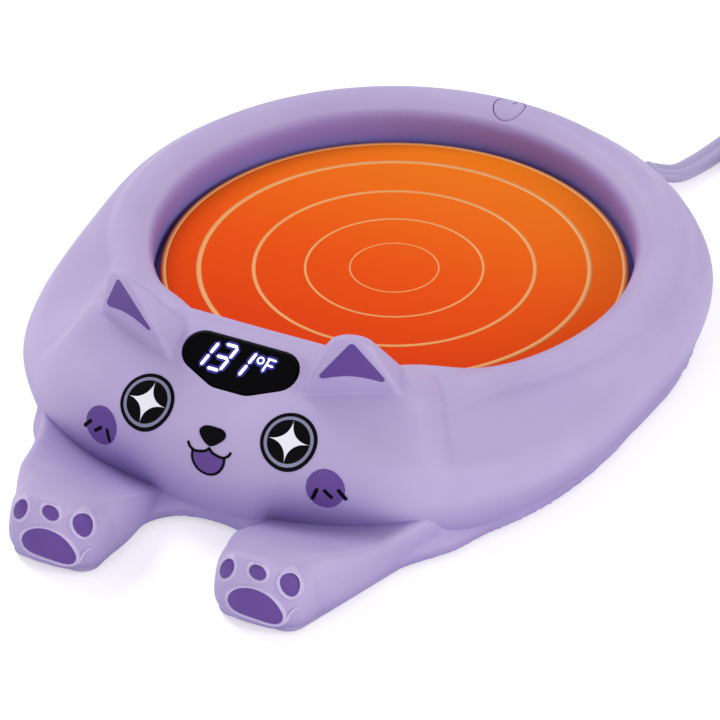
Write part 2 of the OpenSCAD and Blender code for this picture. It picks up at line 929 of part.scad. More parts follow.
wire_d = 1.6;
wire_z = cover_top + wire_d / 2 + 0.2;
board_edge = board_y + board_l / 2 + 0.5;
module heater_leads() {
    color([0.85, 0.83, 0.78])
        for (x = [10, 13])
            swept_tube(spline([
                [x, plate_y - 28, carrier_z - plate_travel - 1], [x, plate_y - 31, wire_z + 1.2],
                [x, plate_y - 36, wire_z], [x, plate_y - 50, wire_z], [x, plate_y - 54, wire_z + 1],
                [x, board_edge, board_z + board_t / 2]], 3), wire_d, wire_d, 6);
}

module button_leads() {
    color([0.75, 0.2, 0.2])
        for (x = [-9, -6.6])
            swept_tube(spline([
                [x + 2, key_y, key_post_top - wire_d / 2], [x + 1, key_y - 2, key_post_top - 3.6],
                [x, key_y - 6, wire_z + 1.4],
                [x, key_y - 11, wire_z], [x, plate_y + 30, wire_z], [x, plate_y, wire_z],
                [x, plate_y - 30, wire_z], [x, plate_y - 50, wire_z],
                [x, plate_y - 54, wire_z + 1], [x, board_edge, board_z + board_t / 2]], 3),
                wire_d, wire_d, 6);
}

module mains_leads() {
    lead_z = cover_top + lead_d / 2 + 0.25;
    across = [-sin(relief_turn), cos(relief_turn), 0] * lead_pair / 2;
    inner_end = relief_neck + relief_flange_t + 0.7;
    inwards = [-cos(relief_turn), -sin(relief_turn), 0];
    start = [
        relief_at[0] - inner_end * cos(relief_drop) * cos(relief_turn),
        relief_at[1] - inner_end * cos(relief_drop) * sin(relief_turn),
        relief_at[2] + inner_end * sin(relief_drop)
    ];
    held = [clamp_at[0], clamp_at[1], clamp_z - seat_gap / 2 - lead_d / 2];
    fall = start[2] - held[2];
    color([0.35, 0.5, 0.75])
        for (side = [-1, 1])
            swept_tube(spline([
                start + side * across, start + inwards + [0, 0, -0.2 * fall] + side * across,
                start + inwards * 2 + [0, 0, -0.6 * fall] + side * across,
                start + inwards * 3 + [0, 0, -0.97 * fall] + side * across,
                held - inwards * clamp_l / 2 + side * across, held + inwards * clamp_l / 2 + side * across,
                [9.6 - side * 1.4, plate_y + 45, lead_z], [8.8 - side * 1.4, plate_y + 30, lead_z],
                [4 - side * 1.4, plate_y, lead_z], [1 - side * 1.4, plate_y - 30, lead_z],
                [0.4 - side * 1.4, plate_y - 46, lead_z], [-1.6 - side * 1.8, board_y + 14, lead_z + 1.6],
                [terminal_x - side * 2.2, board_y + 11.2, board_top + 2.4],
                [terminal_x - side * 2.2, board_y + 9.3, board_top + 3]], 3), lead_d, lead_d, 6);
}

module display_ribbon() {
    color([0.9, 0.9, 0.86])
        swept_tube(spline([
            [4.6, plate_y - window_len + 4.8, window_z - 6], [4.6, plate_y - window_len + 6.4, window_z - 10],
            [4.6, board_y + 1.6, board_top + 8], [4.6, board_y + 1.2, board_top + 0.1]], 4), 3.6, 0.5, 8);
}

// ---- Strain relief ----
relief_flange_t = 1.6;
relief_tip_w = cord_w + 0.8;
relief_tip_h = cord_t + 0.7;
module relief_slice(x, across, high) {
    translate([x, 0, 0])
        rotate([90, 0, 90])
            linear_extrude(0.1)
                hull()
                    for (end = [-1, 1])
                        translate([end * (across - high) / 2, 0])
                            circle(d = high, $fn = 32);
}

module strain_relief() {
    flange_w = relief_d + 2.6;
    flange_h = relief_h + 0.3;
    color([0.66, 0.61, 0.78])
        at_relief() {
            hull() {
                relief_slice(0, relief_d, relief_h);
                relief_slice(relief_len - 0.1, relief_tip_w, relief_tip_h);
            }
            hull() {
                relief_slice(-relief_neck, relief_d, relief_h);
                relief_slice(0, relief_d, relief_h);
            }
            hull() {
                relief_slice(-relief_neck - relief_flange_t, flange_w, flange_h);
                relief_slice(-relief_neck, flange_w, flange_h);
            }
        }
}

// ---- Lead: the free stretch, the stored coil, the tail and the plug ----
relief_tip = [
    relief_at[0] + relief_len * cos(relief_drop) * cos(relief_turn),
    relief_at[1] + relief_len * cos(relief_drop) * sin(relief_turn),
    relief_at[2] - relief_len * sin(relief_drop)
];
lead_points = [
    [30.5, 102, 2.4], [32.4, 108.5, 1.6], [34, 115, 1.5], [35.4, 122, 1.5],
    [36.6, 130, 1.5], [37.6, 139, 1.5]
];
tail_points = [
    [117, 132, 4.4], [117, 126, 4.6], [117, 119, 5.3], [117, 111, 6.3], [117, 104, 6.5]
];
coil_at = [77, 132];
coil_in_r = 22;
coil_out_r = 42.8;
coil_layers = 2;
plug_at = [117, 104];

module cord_lead() {
    color([0.66, 0.62, 0.80])
        swept_tube(spline(concat([relief_tip], lead_points), 3), cord_w, cord_t, 8);
}

module cord_coil() {
    color([0.66, 0.62, 0.80])
        translate([coil_at[0], coil_at[1], 0])
            rotate_extrude($fn = 96)
                translate([coil_in_r, 0])
                    square([coil_out_r - coil_in_r, coil_layers * (cord_t + seat_gap)]);
}

module cord_tail() {
    color([0.66, 0.62, 0.80])
        swept_tube(spline(tail_points, 3), cord_w, cord_t, 8);
}

blade_root = 8;
module at_blades() {
    for (side = [-1, 1])
        translate([plug_at[0] + side * blade_pitch / 2 - blade_t / 2, plug_at[1] - plug_len - blade_len,
            plug_t / 2 - blade_w / 2])
            cube([blade_t, blade_len + blade_root, blade_w]);
}

module plug_body() {
    corner = 3;
    neck_l = 6;
    color([0.66, 0.61, 0.78])
        difference() {
            translate([plug_at[0], plug_at[1], plug_t / 2])
                rotate([90, 0, 0])
                    hull() {
                        linear_extrude(0.1)
                            rounded_box(cord_w + 4, cord_t + 4, 2);
                        translate([0, 0, neck_l])
                            linear_extrude(0.1)
                                rounded_box(plug_w - 4, plug_t - 2, corner);
                        translate([0, 0, plug_len - 3])
                            linear_extrude(3)
                                rounded_box(plug_w, plug_t, corner);
                    }
            at_blades();
        }
}

module rounded_box(across, high, corner) {
    hull()
        for (sx = [-1, 1], sy = [-1, 1])
            translate([sx * (across / 2 - corner), sy * (high / 2 - corner)])
                circle(r = corner, $fn = 32);
}

module plug_blades() {
    hole_back = 4;
    color("silver")
        difference() {
            at_blades();
            translate([plug_at[0] - plug_w, plug_at[1] - plug_len - blade_len + hole_back, plug_t / 2])
                rotate([0, 90, 0])
                    cylinder(d = 3.2, h = 2 * plug_w, $fn = fn_small);
        }
}

upper_shell();
lower_shell();
bottom_cover();
display_window();
led_display();
display_board();
heating_plate();
heat_spreader();
heater_element();
insulation_pad();
plate_carrier();
temperature_sensor();
thermal_fuse();
carrier_screws();
plate_springs();
weight_switch();
switch_plunger();
main_board();
relay();
transformer();
capacitor();
mains_terminal();
mains_fuse();
board_screws();
power_button();
button_switch();
button_board();
cable_clamp();
clamp_screws();
shell_screws();
leg_screws();
rubber_feet();
heater_leads();
button_leads();
mains_leads();
display_ribbon();
strain_relief();
cord_lead();
cord_coil();
cord_tail();
plug_body();
plug_blades();
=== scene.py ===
import math
import bpy
import bmesh
import numpy as np
from mathutils import Matrix, Vector


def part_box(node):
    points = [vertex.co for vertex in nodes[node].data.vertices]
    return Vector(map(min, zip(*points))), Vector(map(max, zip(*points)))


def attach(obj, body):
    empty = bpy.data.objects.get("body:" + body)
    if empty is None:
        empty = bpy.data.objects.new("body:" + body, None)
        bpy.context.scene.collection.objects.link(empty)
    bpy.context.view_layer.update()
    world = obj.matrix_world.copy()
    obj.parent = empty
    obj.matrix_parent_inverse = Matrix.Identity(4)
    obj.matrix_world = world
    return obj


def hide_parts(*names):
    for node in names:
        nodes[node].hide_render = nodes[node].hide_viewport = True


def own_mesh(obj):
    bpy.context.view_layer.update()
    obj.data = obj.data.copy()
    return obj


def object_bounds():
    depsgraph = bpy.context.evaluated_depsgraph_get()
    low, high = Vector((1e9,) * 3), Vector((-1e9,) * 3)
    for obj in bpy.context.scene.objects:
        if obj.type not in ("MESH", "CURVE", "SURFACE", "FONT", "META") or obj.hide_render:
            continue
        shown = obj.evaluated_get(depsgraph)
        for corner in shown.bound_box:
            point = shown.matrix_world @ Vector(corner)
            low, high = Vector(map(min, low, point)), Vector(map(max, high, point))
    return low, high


# Electric mug warmer with a cat-shaped body. Sizes here are in millimetres unless a name says metres.
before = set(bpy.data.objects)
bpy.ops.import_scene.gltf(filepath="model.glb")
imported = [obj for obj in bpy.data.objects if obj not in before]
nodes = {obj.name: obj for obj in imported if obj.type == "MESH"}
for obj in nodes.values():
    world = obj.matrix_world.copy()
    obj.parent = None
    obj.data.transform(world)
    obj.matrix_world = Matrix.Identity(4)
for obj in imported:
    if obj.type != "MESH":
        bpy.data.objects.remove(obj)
cadLow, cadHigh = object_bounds()
mm = 0.001
print("frame loaded:", len(nodes), "nodes")


camera = {
    "place": (0.7380, -1.47575, 1.1125),  # metres, as the aim is
    "aim": (-0.001725, 0.011335, -0.00198),
    "lens": 469.0,
    "sensor": 36.0,
    "clipEnd": 20.0,
}


def makeCamera():
    data = bpy.data.cameras.new("studioCamera")
    data.lens = camera["lens"]
    data.sensor_width = camera["sensor"]
    data.clip_end = camera["clipEnd"]
    obj = bpy.data.objects.new("studioCamera", data)
    obj.location = camera["place"]
    look = Vector(camera["aim"]) - obj.location
    obj.rotation_euler = look.to_track_quat("-Z", "Y").to_euler()
    bpy.context.scene.collection.objects.link(obj)
    bpy.context.scene.camera = obj


makeCamera()
print("camera placed")


# Points are in millimetres unless another scale is given.
def addMesh(name, points, faces, material, smoothAngle=None, scale=mm):
    mesh = bpy.data.meshes.new(name)
    mesh.from_pydata([tuple(np.asarray(p, float) * scale) for p in points], [], [tuple(f) for f in faces])
    obj = bpy.data.objects.new(name, mesh)
    bpy.context.scene.collection.objects.link(obj)
    obj.data.materials.append(material)
    mesh.validate()
    if smoothAngle is not None:
        shadeSmooth(obj, smoothAngle)
    return obj


def shadeSmooth(obj, angle=40):
    obj.data.shade_smooth()
    obj.data.set_sharp_from_angle(angle=math.radians(angle))


def outwards(obj):
    work = bmesh.new()
    work.from_mesh(obj.data)
    bmesh.ops.remove_doubles(work, verts=work.verts, dist=1e-7)
    bmesh.ops.recalc_face_normals(work, faces=work.faces)
    work.to_mesh(obj.data)
    work.free()


def applyModifiers(obj):
    view = bpy.context.evaluated_depsgraph_get()
    mesh = bpy.data.meshes.new_from_object(obj.evaluated_get(view))
    obj.modifiers.clear()
    obj.data = mesh


def finishPiece(obj, body, slotName, *stands):
    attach(obj, body)
    if stands:
        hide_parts(*stands)
    return obj


# A skin over closed rings, which all have the same number of points.
def loft(rings, capped=True):
    count = len(rings[0])
    points = [p for ring in rings for p in ring]
    faces = []
    for i in range(len(rings) - 1):
        for j in range(count):
            k = (j + 1) % count
            faces.append((i * count + j, i * count + k, (i + 1) * count + k, (i + 1) * count + j))
    if capped:
        faces.append(tuple(range(count))[::-1])
        faces.append(tuple((len(rings) - 1) * count + j for j in range(count)))
    return points, faces


# A profile of (radius, height) points turned about an upright axis.
def spun(profile, centre, steps):
    rings = []
    for k in range(steps):
        a = 2 * math.pi * k / steps
        rings.append([(centre[0] + r * math.cos(a), centre[1] + r * math.sin(a), z) for r, z in profile])
    count = len(profile)
    points = [p for ring in rings for p in ring]
    faces = []
    for k in range(steps):
        n = (k + 1) % steps
        for j in range(count - 1):
            faces.append((k * count + j, n * count + j, n * count + j + 1, k * count + j + 1))
    return points, faces


def circle(r, steps=48):
    turns = [2 * math.pi * i / steps for i in range(steps)]
    return [(r * math.cos(turn), r * math.sin(turn)) for turn in turns]


# A closed section between an oval, at power 2, and a rectangle, at a high one.
def superSection(w, h, power, steps):
    return [(w / 2 * math.copysign(abs(c) ** (2 / power), c), h / 2 * math.copysign(abs(s) ** (2 / power), s))
            for c, s in circle(1, steps)]


# A smooth path through the given points.
def catmull(points, steps):
    p = np.asarray(points, float)
    out = []
    for i in range(len(p) - 1):
        p0, p1, p2, p3 = p[max(0, i - 1)], p[i], p[i + 1], p[min(len(p) - 1, i + 2)]
        for s in range(steps):
            t = s / steps
            out.append(0.5 * (2 * p1 + (p2 - p0) * t + (2 * p0 - 5 * p1 + 4 * p2 - p3) * t ** 2
                              + (3 * p1 - p0 - 3 * p2 + p3) * t ** 3))
    out.append(p[-1])
    return np.array(out)


def newGroup(name, inputs, outputs):
    tree = bpy.data.node_groups.new(name, "ShaderNodeTree")
    for label, kind, value in inputs:
        socket = tree.interface.new_socket(name=label, in_out="INPUT", socket_type=kind)
        socket.default_value = value
    for label, kind in outputs:
        tree.interface.new_socket(name=label, in_out="OUTPUT", socket_type=kind)
    return tree, tree.nodes.new("NodeGroupInput"), tree.nodes.new("NodeGroupOutput")


def addNode(tree, kind, **values):
    node = tree.nodes.new(kind)
    for key, value in values.items():
        if key.startswith("in_"):
            label = key[3:].replace("_", " ")
            node.inputs[label].default_value = value
        else:
            setattr(node, key, value)
    return node


# Fine moulded grain: a height for Bump, and a mask that breaks up the gloss.
def grainGroup():
    tree, into, out = newGroup(
        "mouldedGrain",
        [("Scale", "NodeSocketFloat", 900.0), ("Speckle", "NodeSocketFloat", 60.0)],
        [("Height", "NodeSocketFloat"), ("Mask", "NodeSocketFloat")])
    place = addNode(tree, "ShaderNodeTexCoord")
    fine = addNode(tree, "ShaderNodeTexNoise", in_Detail=3.0, in_Roughness=0.6)
    broad = addNode(tree, "ShaderNodeTexNoise", in_Detail=2.0, in_Roughness=0.5)
    link = tree.links.new
    link(place.outputs["Object"], fine.inputs["Vector"])
    link(place.outputs["Object"], broad.inputs["Vector"])
    link(into.outputs["Scale"], fine.inputs["Scale"])
    link(into.outputs["Speckle"], broad.inputs["Scale"])
    link(fine.outputs["Fac"], out.inputs["Height"])
    link(broad.outputs["Fac"], out.inputs["Mask"])
    return tree


# Painted highlight along raised edges and painted shade in creases, from the surface's own curvature; noise
# breaks up the highlight.
def edgeLightGroup():
    tree, into, out = newGroup(
        "edgeWear",
        [("Contrast", "NodeSocketFloat", 6.0), ("Breakup", "NodeSocketFloat", 140.0)],
        [("Edge", "NodeSocketFloat"), ("Crease", "NodeSocketFloat")])
    shape = addNode(tree, "ShaderNodeNewGeometry")
    place = addNode(tree, "ShaderNodeTexCoord")
    noise = addNode(tree, "ShaderNodeTexNoise", in_Detail=3.0)
    centred = addNode(tree, "ShaderNodeMath", operation="SUBTRACT")
    centred.inputs[1].default_value = 0.5
    strong = addNode(tree, "ShaderNodeMath", operation="MULTIPLY")
    broken = addNode(tree, "ShaderNodeMath", operation="MULTIPLY", use_clamp=True)
    dark = addNode(tree, "ShaderNodeMath", operation="MULTIPLY", use_clamp=True)
    dark.inputs[1].default_value = -1.0
    link = tree.links.new
    link(place.outputs["Object"], noise.inputs["Vector"])
    link(into.outputs["Breakup"], noise.inputs["Scale"])
    link(shape.outputs["Pointiness"], centred.inputs[0])
    link(centred.outputs[0], strong.inputs[0])
    link(into.outputs["Contrast"], strong.inputs[1])
    link(strong.outputs[0], broken.inputs[0])
    link(noise.outputs["Fac"], broken.inputs[1])
    link(strong.outputs[0], dark.inputs[0])
    link(broken.outputs[0], out.inputs["Edge"])
    link(dark.outputs[0], out.inputs["Crease"])
    return tree


grain = grainGroup()
edges = edgeLightGroup()

plateLow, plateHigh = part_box("heating_plate")
plateY = (plateLow.y + plateHigh.y) / 2 / mm
plateTop = plateHigh.z / mm
plateR = (plateHigh.x - plateLow.x) / 2 / mm

body = {
    # the outline in plan, about the plate's middle
    "bowlR": plateR + 1.3,
    "sideW": 67.3,
    "rearLen": 66.5,
    "faceLen": 87.2,
    "facePower": 2.8,
    "rearPower": 2.12,
    "bandInset": 2.6,
    "bandStep": 0.3,
    # the ring and its outer crease
    "ringTop": 23.4,
    "ringLip": 5.1,
    "creaseOut": 10.7,
    # the head: a ridge ahead of the bowl that fades out between two angles from straight ahead
    "headTop": 37.0,
    "headFoot": 14,
    "ridgeEnd": 20,
    "ridgeOut": 13.7,
    "ridgeBend": 40,
    "headHalfW": 47.0,
    "headFullTurn": 26.0,
    "headEndTurn": 58.0,
    "rimLift": 1.6,
    "rimLiftTurn": 34.0,
    "rimLiftSpread": 10,
    # the shells' walls and heights
    "wall": 2.2,
    "headWall": 3.6,
    "thickerFrom": 15,
    "thickerOver": 7,
    "bowlWall": 6,
    "bowlWallFoot": 9.5,
    "seamZ": 4.0,
    "seamGap": 0.3,
    "baseZ": 0.8,
    "footWall": 2.7,
    "ledgeTop": 3.2,
    "hollowFrom": 4.2,
    "skirtTop": 12.0,
    "skirtTopByLeg": 18.6,
    "tuckBelow": 6.0,
    "tuckAbove": 0.9,
    "bowlClear": 4,
    "coverGap": 0.2,
}


# A colour as it is seen, from 0 to 255, as the shaders take it.
def rgb(red, green, blue):
    def linear(v):
        v = v / 255
        return v / 12.92 if v <= 0.04045 else ((v + 0.055) / 1.055) ** 2.4
    return (linear(red), linear(green), linear(blue), 1.0)


def startMaterial(name):
    material = bpy.data.materials.new(name)
    material.use_nodes = True
    tree = material.node_tree
    return material, tree, tree.nodes["Principled BSDF"]


# Painted shade: hollows, found by ambient occlusion, turn towards a deeper colour, and the bowl's wall is
# painted darker and bluer, against the orange light that the hot plate throws on it.
paintedShade = {
    "reach": 22.0, "openFrom": 0.9, "openTo": 0.25, "samples": 6,
    "bowlShadeColour": rgb(110, 102, 205), "bowlShadeShare": 0.62, "bowlFrom": 1.4, "bowlTo": -0.2,
}


# Mixes painted shade into a colour: towards the deep colour in hollows, and towards the bowl's shade colour
# on the bowl's wall.
def shadedInHollows(tree, plain, deep, share):
    link = tree.links.new
    hollow = addNode(tree, "ShaderNodeAmbientOcclusion", samples=paintedShade["samples"])
    hollow.inputs["Distance"].default_value = paintedShade["reach"] * mm
    closed = addNode(tree, "ShaderNodeMapRange")
    closed.inputs["From Min"].default_value = paintedShade["openFrom"]
    closed.inputs["From Max"].default_value = paintedShade["openTo"]
    closed.inputs["To Max"].default_value = share
    strong = addNode(tree, "ShaderNodeMix", data_type="RGBA")
    strong.inputs[7].default_value = deep
    link(hollow.outputs["AO"], closed.inputs["Value"])
    link(closed.outputs["Result"], strong.inputs[0])
    link(plain, strong.inputs[6])
    spot = addNode(tree, "ShaderNodeTexCoord")
    fromAxis = addNode(tree, "ShaderNodeMapping")
    fromAxis.inputs["Location"].default_value = (0, -plateY * mm, 0)
    fromAxis.inputs["Scale"].default_value = (1, 1, 0)
    radius = addNode(tree, "ShaderNodeVectorMath", operation="LENGTH")
    inBowl = addNode(tree, "ShaderNodeMapRange")
    inBowl.inputs["From Min"].default_value = (body["bowlR"] + paintedShade["bowlFrom"]) * mm
    inBowl.inputs["From Max"].default_value = (body["bowlR"] + paintedShade["bowlTo"]) * mm
    inBowl.inputs["To Max"].default_value = paintedShade["bowlShadeShare"]
    bowlWallShade = addNode(tree, "ShaderNodeMix", data_type="RGBA")
    bowlWallShade.inputs[7].default_value = paintedShade["bowlShadeColour"]
    link(spot.outputs["Object"], fromAxis.inputs["Vector"])
    link(fromAxis.outputs["Vector"], radius.inputs[0])
    link(radius.outputs["Value"], inBowl.inputs["Value"])
    link(inBowl.outputs["Result"], bowlWallShade.inputs[0])
    link(strong.outputs[2], bowlWallShade.inputs[6])
    return bowlWallShade.outputs[2]


# Moulded plastic, rubber and print share this build: grain on the bump and gloss, and on the colour a painted
# highlight on raised edges and painted shade in creases.
def moulded(name, colour, light, dark, rough=0.45, roughSpread=0.06, bump=0.04, scale=900.0, coat=0.0,
            coatRough=0.25, specular=0.5, subsurface=0.0, deep=None, hollowShadeShare=0.6):
    material, tree, shader = startMaterial(name)
    link = tree.links.new
    cover = addNode(tree, "ShaderNodeGroup", node_tree=grain)
    cover.inputs["Scale"].default_value = scale
    edgeShading = addNode(tree, "ShaderNodeGroup", node_tree=edges)
    tone = addNode(tree, "ShaderNodeValToRGB")
    tone.color_ramp.elements[0].position = 0.35
    tone.color_ramp.elements[0].color = colour
    tone.color_ramp.elements[1].position = 0.65
    tone.color_ramp.elements[1].color = tuple(0.5 * (a + b) for a, b in zip(colour, light))
    lit = addNode(tree, "ShaderNodeMix", data_type="RGBA")
    lit.inputs[7].default_value = light
    shade = addNode(tree, "ShaderNodeMix", data_type="RGBA")
    shade.inputs[7].default_value = dark
    gloss = addNode(tree, "ShaderNodeMapRange")
    gloss.inputs["To Min"].default_value = rough - roughSpread
    gloss.inputs["To Max"].default_value = rough + roughSpread
    relief = addNode(tree, "ShaderNodeBump", in_Strength=bump, in_Distance=0.0003)
    link(cover.outputs["Mask"], tone.inputs["Fac"])
    link(tone.outputs["Color"], lit.inputs[6])
    # Painted highlight on raised edges, then painted shade in creases.
    link(edgeShading.outputs["Edge"], lit.inputs[0])
    link(lit.outputs[2], shade.inputs[6])
    link(edgeShading.outputs["Crease"], shade.inputs[0])
    # Painted shade in hollows and on the bowl's wall, where a deep colour is given.
    final = shadedInHollows(tree, shade.outputs[2], deep, hollowShadeShare) if deep else shade.outputs[2]
    link(final, shader.inputs["Base Color"])
    link(cover.outputs["Mask"], gloss.inputs["Value"])
    link(gloss.outputs["Result"], shader.inputs["Roughness"])
    link(cover.outputs["Height"], relief.inputs["Height"])
    link(relief.outputs["Normal"], shader.inputs["Normal"])
    shader.inputs["Coat Weight"].default_value = coat
    shader.inputs["Coat Roughness"].default_value = coatRough
    shader.inputs["Specular IOR Level"].default_value = specular
    if subsurface:
        shader.inputs["Subsurface Weight"].default_value = subsurface
        shader.inputs["Subsurface Scale"].default_value = 2 * mm
    return material


# Bare metal: "stretch" draws the grain out along the way it was rolled.
def metallic(name, colour, dark, rough, stretch=(1.0, 1.0, 1.0), scale=400.0, bump=0.05):
    material, tree, shader = startMaterial(name)
    link = tree.links.new
    place = addNode(tree, "ShaderNodeTexCoord")
    turn = addNode(tree, "ShaderNodeMapping")
    turn.inputs["Scale"].default_value = stretch
    noise = addNode(tree, "ShaderNodeTexNoise", in_Scale=scale, in_Detail=4.0)
    tone = addNode(tree, "ShaderNodeValToRGB")
    tone.color_ramp.elements[0].position = 0.3
    tone.color_ramp.elements[0].color = dark
    tone.color_ramp.elements[1].position = 0.7
    tone.color_ramp.elements[1].color = colour
    gloss = addNode(tree, "ShaderNodeMapRange")
    gloss.inputs["To Min"].default_value = rough - 0.07
    gloss.inputs["To Max"].default_value = rough + 0.07
    relief = addNode(tree, "ShaderNodeBump", in_Strength=bump, in_Distance=0.0002)
    link(place.outputs["Object"], turn.inputs["Vector"])
    link(turn.outputs["Vector"], noise.inputs["Vector"])
    link(noise.outputs["Fac"], tone.inputs["Fac"])
    link(tone.outputs["Color"], shader.inputs["Base Color"])
    link(noise.outputs["Fac"], gloss.inputs["Value"])
    link(gloss.outputs["Result"], shader.inputs["Roughness"])
    link(noise.outputs["Fac"], relief.inputs["Height"])
    link(relief.outputs["Normal"], shader.inputs["Normal"])
    shader.inputs["Metallic"].default_value = 1.0
    return material


# The shell's colour has painted shade in hollows and on the bowl's wall, and a painted highlight on its
# edges.
lavender = moulded("lavenderShell", rgb(190, 175, 217), rgb(200, 187, 224), rgb(140, 116, 180), rough=0.5,
                   specular=0.25, coat=0.03, coatRough=0.4, subsurface=0.05, deep=rgb(104, 84, 172),
                   hollowShadeShare=0.55)
coverLavender = moulded("coverLavender", rgb(160, 146, 190), rgb(175, 162, 202), rgb(122, 106, 152),
                        rough=0.58, bump=0.12, scale=1400.0)
darkPrint = moulded("blackPrint", rgb(6, 5, 8), rgb(9, 8, 11), rgb(4, 4, 6), rough=0.5, bump=0.02,
                    specular=0.04)
purplePrint = moulded("purplePrint", rgb(104, 74, 150), rgb(112, 82, 158), rgb(90, 62, 134), rough=0.5,
                      bump=0.05, specular=0.15)
greyPrint = moulded("greyPrint", rgb(128, 130, 160), rgb(138, 140, 170), rgb(110, 112, 140), rough=0.4,
                    bump=0.02)
whitePrint = moulded("whitePrint", rgb(248, 249, 255), rgb(252, 252, 255), rgb(232, 233, 242), rough=0.4,
                     bump=0.02)
blackPlastic = moulded("blackPlastic", rgb(34, 33, 38), rgb(58, 56, 62), rgb(22, 21, 25), rough=0.5, bump=0.1)
boardGreen = moulded("boardGreen", rgb(34, 96, 54), rgb(58, 126, 76), rgb(22, 64, 38), rough=0.35, bump=0.05)
relayBlue = moulded("relayBlue", rgb(36, 84, 170), rgb(70, 112, 190), rgb(24, 58, 120), rough=0.35)
windingYellow = moulded("windingYellow", rgb(226, 182, 60), rgb(240, 205, 100), rgb(170, 130, 40), rough=0.5)
footRubber = moulded("footRubber", rgb(60, 58, 66), rgb(84, 82, 90), rgb(40, 38, 44), rough=0.75, bump=0.2)
cordLavender = moulded("cordLavender", rgb(176, 168, 206), rgb(190, 182, 216), rgb(136, 126, 170), rough=0.42,
                       bump=0.05, coat=0.15)
wireWhite = moulded("wireWhite", rgb(226, 222, 210), rgb(238, 236, 226), rgb(190, 186, 172), rough=0.5)
wireRed = moulded("wireRed", rgb(176, 48, 40), rgb(200, 80, 70), rgb(130, 30, 26), rough=0.45)
wireBlue = moulded("wireBlue", rgb(60, 100, 176), rgb(96, 130, 196), rgb(40, 70, 130), rough=0.45)
ribbonGrey = moulded("ribbonGrey", rgb(214, 213, 208), rgb(228, 227, 222), rgb(176, 175, 170), rough=0.5)
mica = moulded("micaSheet", rgb(196, 172, 122), rgb(216, 194, 146), rgb(156, 134, 92), rough=0.4, bump=0.2,
               scale=220.0)
fibre = moulded("ceramicFibre", rgb(236, 232, 218), rgb(246, 243, 232), rgb(206, 200, 184), rough=0.95,
                bump=0.6, scale=500.0)
steel = metallic("zincSteel", rgb(208, 208, 212), rgb(150, 150, 156), 0.32)
aluminium = metallic("rolledAluminium", rgb(226, 226, 230), rgb(190, 190, 196), 0.28,
                     stretch=(0.05, 1.0, 1.0))
bladeMetal = metallic("bladeMetal", rgb(222, 214, 196), rgb(176, 168, 150), 0.22, stretch=(1.0, 0.08, 1.0))
print("materials ready")


ear = {
    "x": 25.5, "forward": 71.4, "footZ": 34.3, "turn": 21.0, "width": 19.6, "height": 14.6,
    "tipRound": 4.8, "tipThick": 1.9, "footDepth": 9.5, "edgeRound": 0.8, "fillet": 0.6, "lean": 0.24,
}
leg = {
    # the plan: forward is measured from the plate's middle
    "x": 23.8, "width": 23.2, "front": 114.65, "cornerR": 10.8, "rootR": 6.5,
    "rootInner": (17.6, 76.0), "rootOuter": (40.8, 70.0),
    # the sides draw in with height, over the front part of the leg
    "draft": 0.1, "draftZ": 5, "draftFrom": 86, "draftOver": 14,
    # the top falls back from a ridge over the paw, down to "fall"
    "height": 17.9, "ridge": 112.0, "ridgeRound": 4, "ridgeLift": 0.7, "slope": 0.42, "fall": 11.4,
    "fallRound": 3, "lean": 0.13, "leanOver": 27, "leanMost": 1.15,
    # roundings: top edges at the paw and behind it, the paw's front edge, the foot, the web to the band
    "topRound": 9.5, "backRound": 2.4, "crownOver": 14, "lipRound": 2.2, "lipSpread": 1.2, "lipOver": 6,
    "footZ": 0.2, "footRound": 4.5, "webRound": 10.5, "webTopRound": 1.5, "webFrom": 2.5, "webOver": 4,
}


def mix(a, b, t):
    return a + (b - a) * t


def ease(t):
    u = np.clip(t, 0, 1)
    return u * u * (3 - 2 * u)


def softMin(a, b, k):
    h = np.clip(0.5 + 0.5 * (b - a) / k, 0, 1)
    return b + (a - b) * h - k * h * (1 - h)


def softMax(a, b, k):
    return -softMin(-a, -b, k)


# The body's shape is a signed distance in millimetres, below zero inside.
# "turn" is the angle from straight ahead, in radians.
def outlineR(turn, inset=0.0):
    c = np.cos(turn)
    power = mix(body["rearPower"], body["facePower"], ease(2 * c))
    along = np.where(c > 0, body["faceLen"], body["rearLen"]) - inset
    across = body["sideW"] - inset
    return ((np.abs(np.sin(turn)) / across) ** power + (np.abs(c) / along) ** power) ** (-1 / power)


# Sections run from the band at the seam up and over to the bowl's wall, as (radius, height) pairs.
def ringSection(edge):
    bowlR, top, lip = body["bowlR"], body["ringTop"], body["ringLip"]
    crease = bowlR + body["creaseOut"]
    spare = edge - crease
    one = np.ones_like(edge)
    return [
        (edge - body["bandInset"], one * body["seamZ"]), (edge - 1.2, one * 7), (edge, one * 11.5),
        (edge - 0.10 * spare - 0.4, one * 15), (edge - 0.26 * spare - 0.8, one * 17.6),
        (mix(edge, crease, 0.6), one * 19.1), (crease * one, one * 20.6),
        ((bowlR + lip + 3.2) * one, one * (top - 0.6)), ((bowlR + lip) * one, one * top),
        ((bowlR + 2) * one, one * (top - 1.5)), ((bowlR + 0.4) * one, one * (top - 3)),
        (bowlR * one, one * (top - lip - 0.4)),
    ]


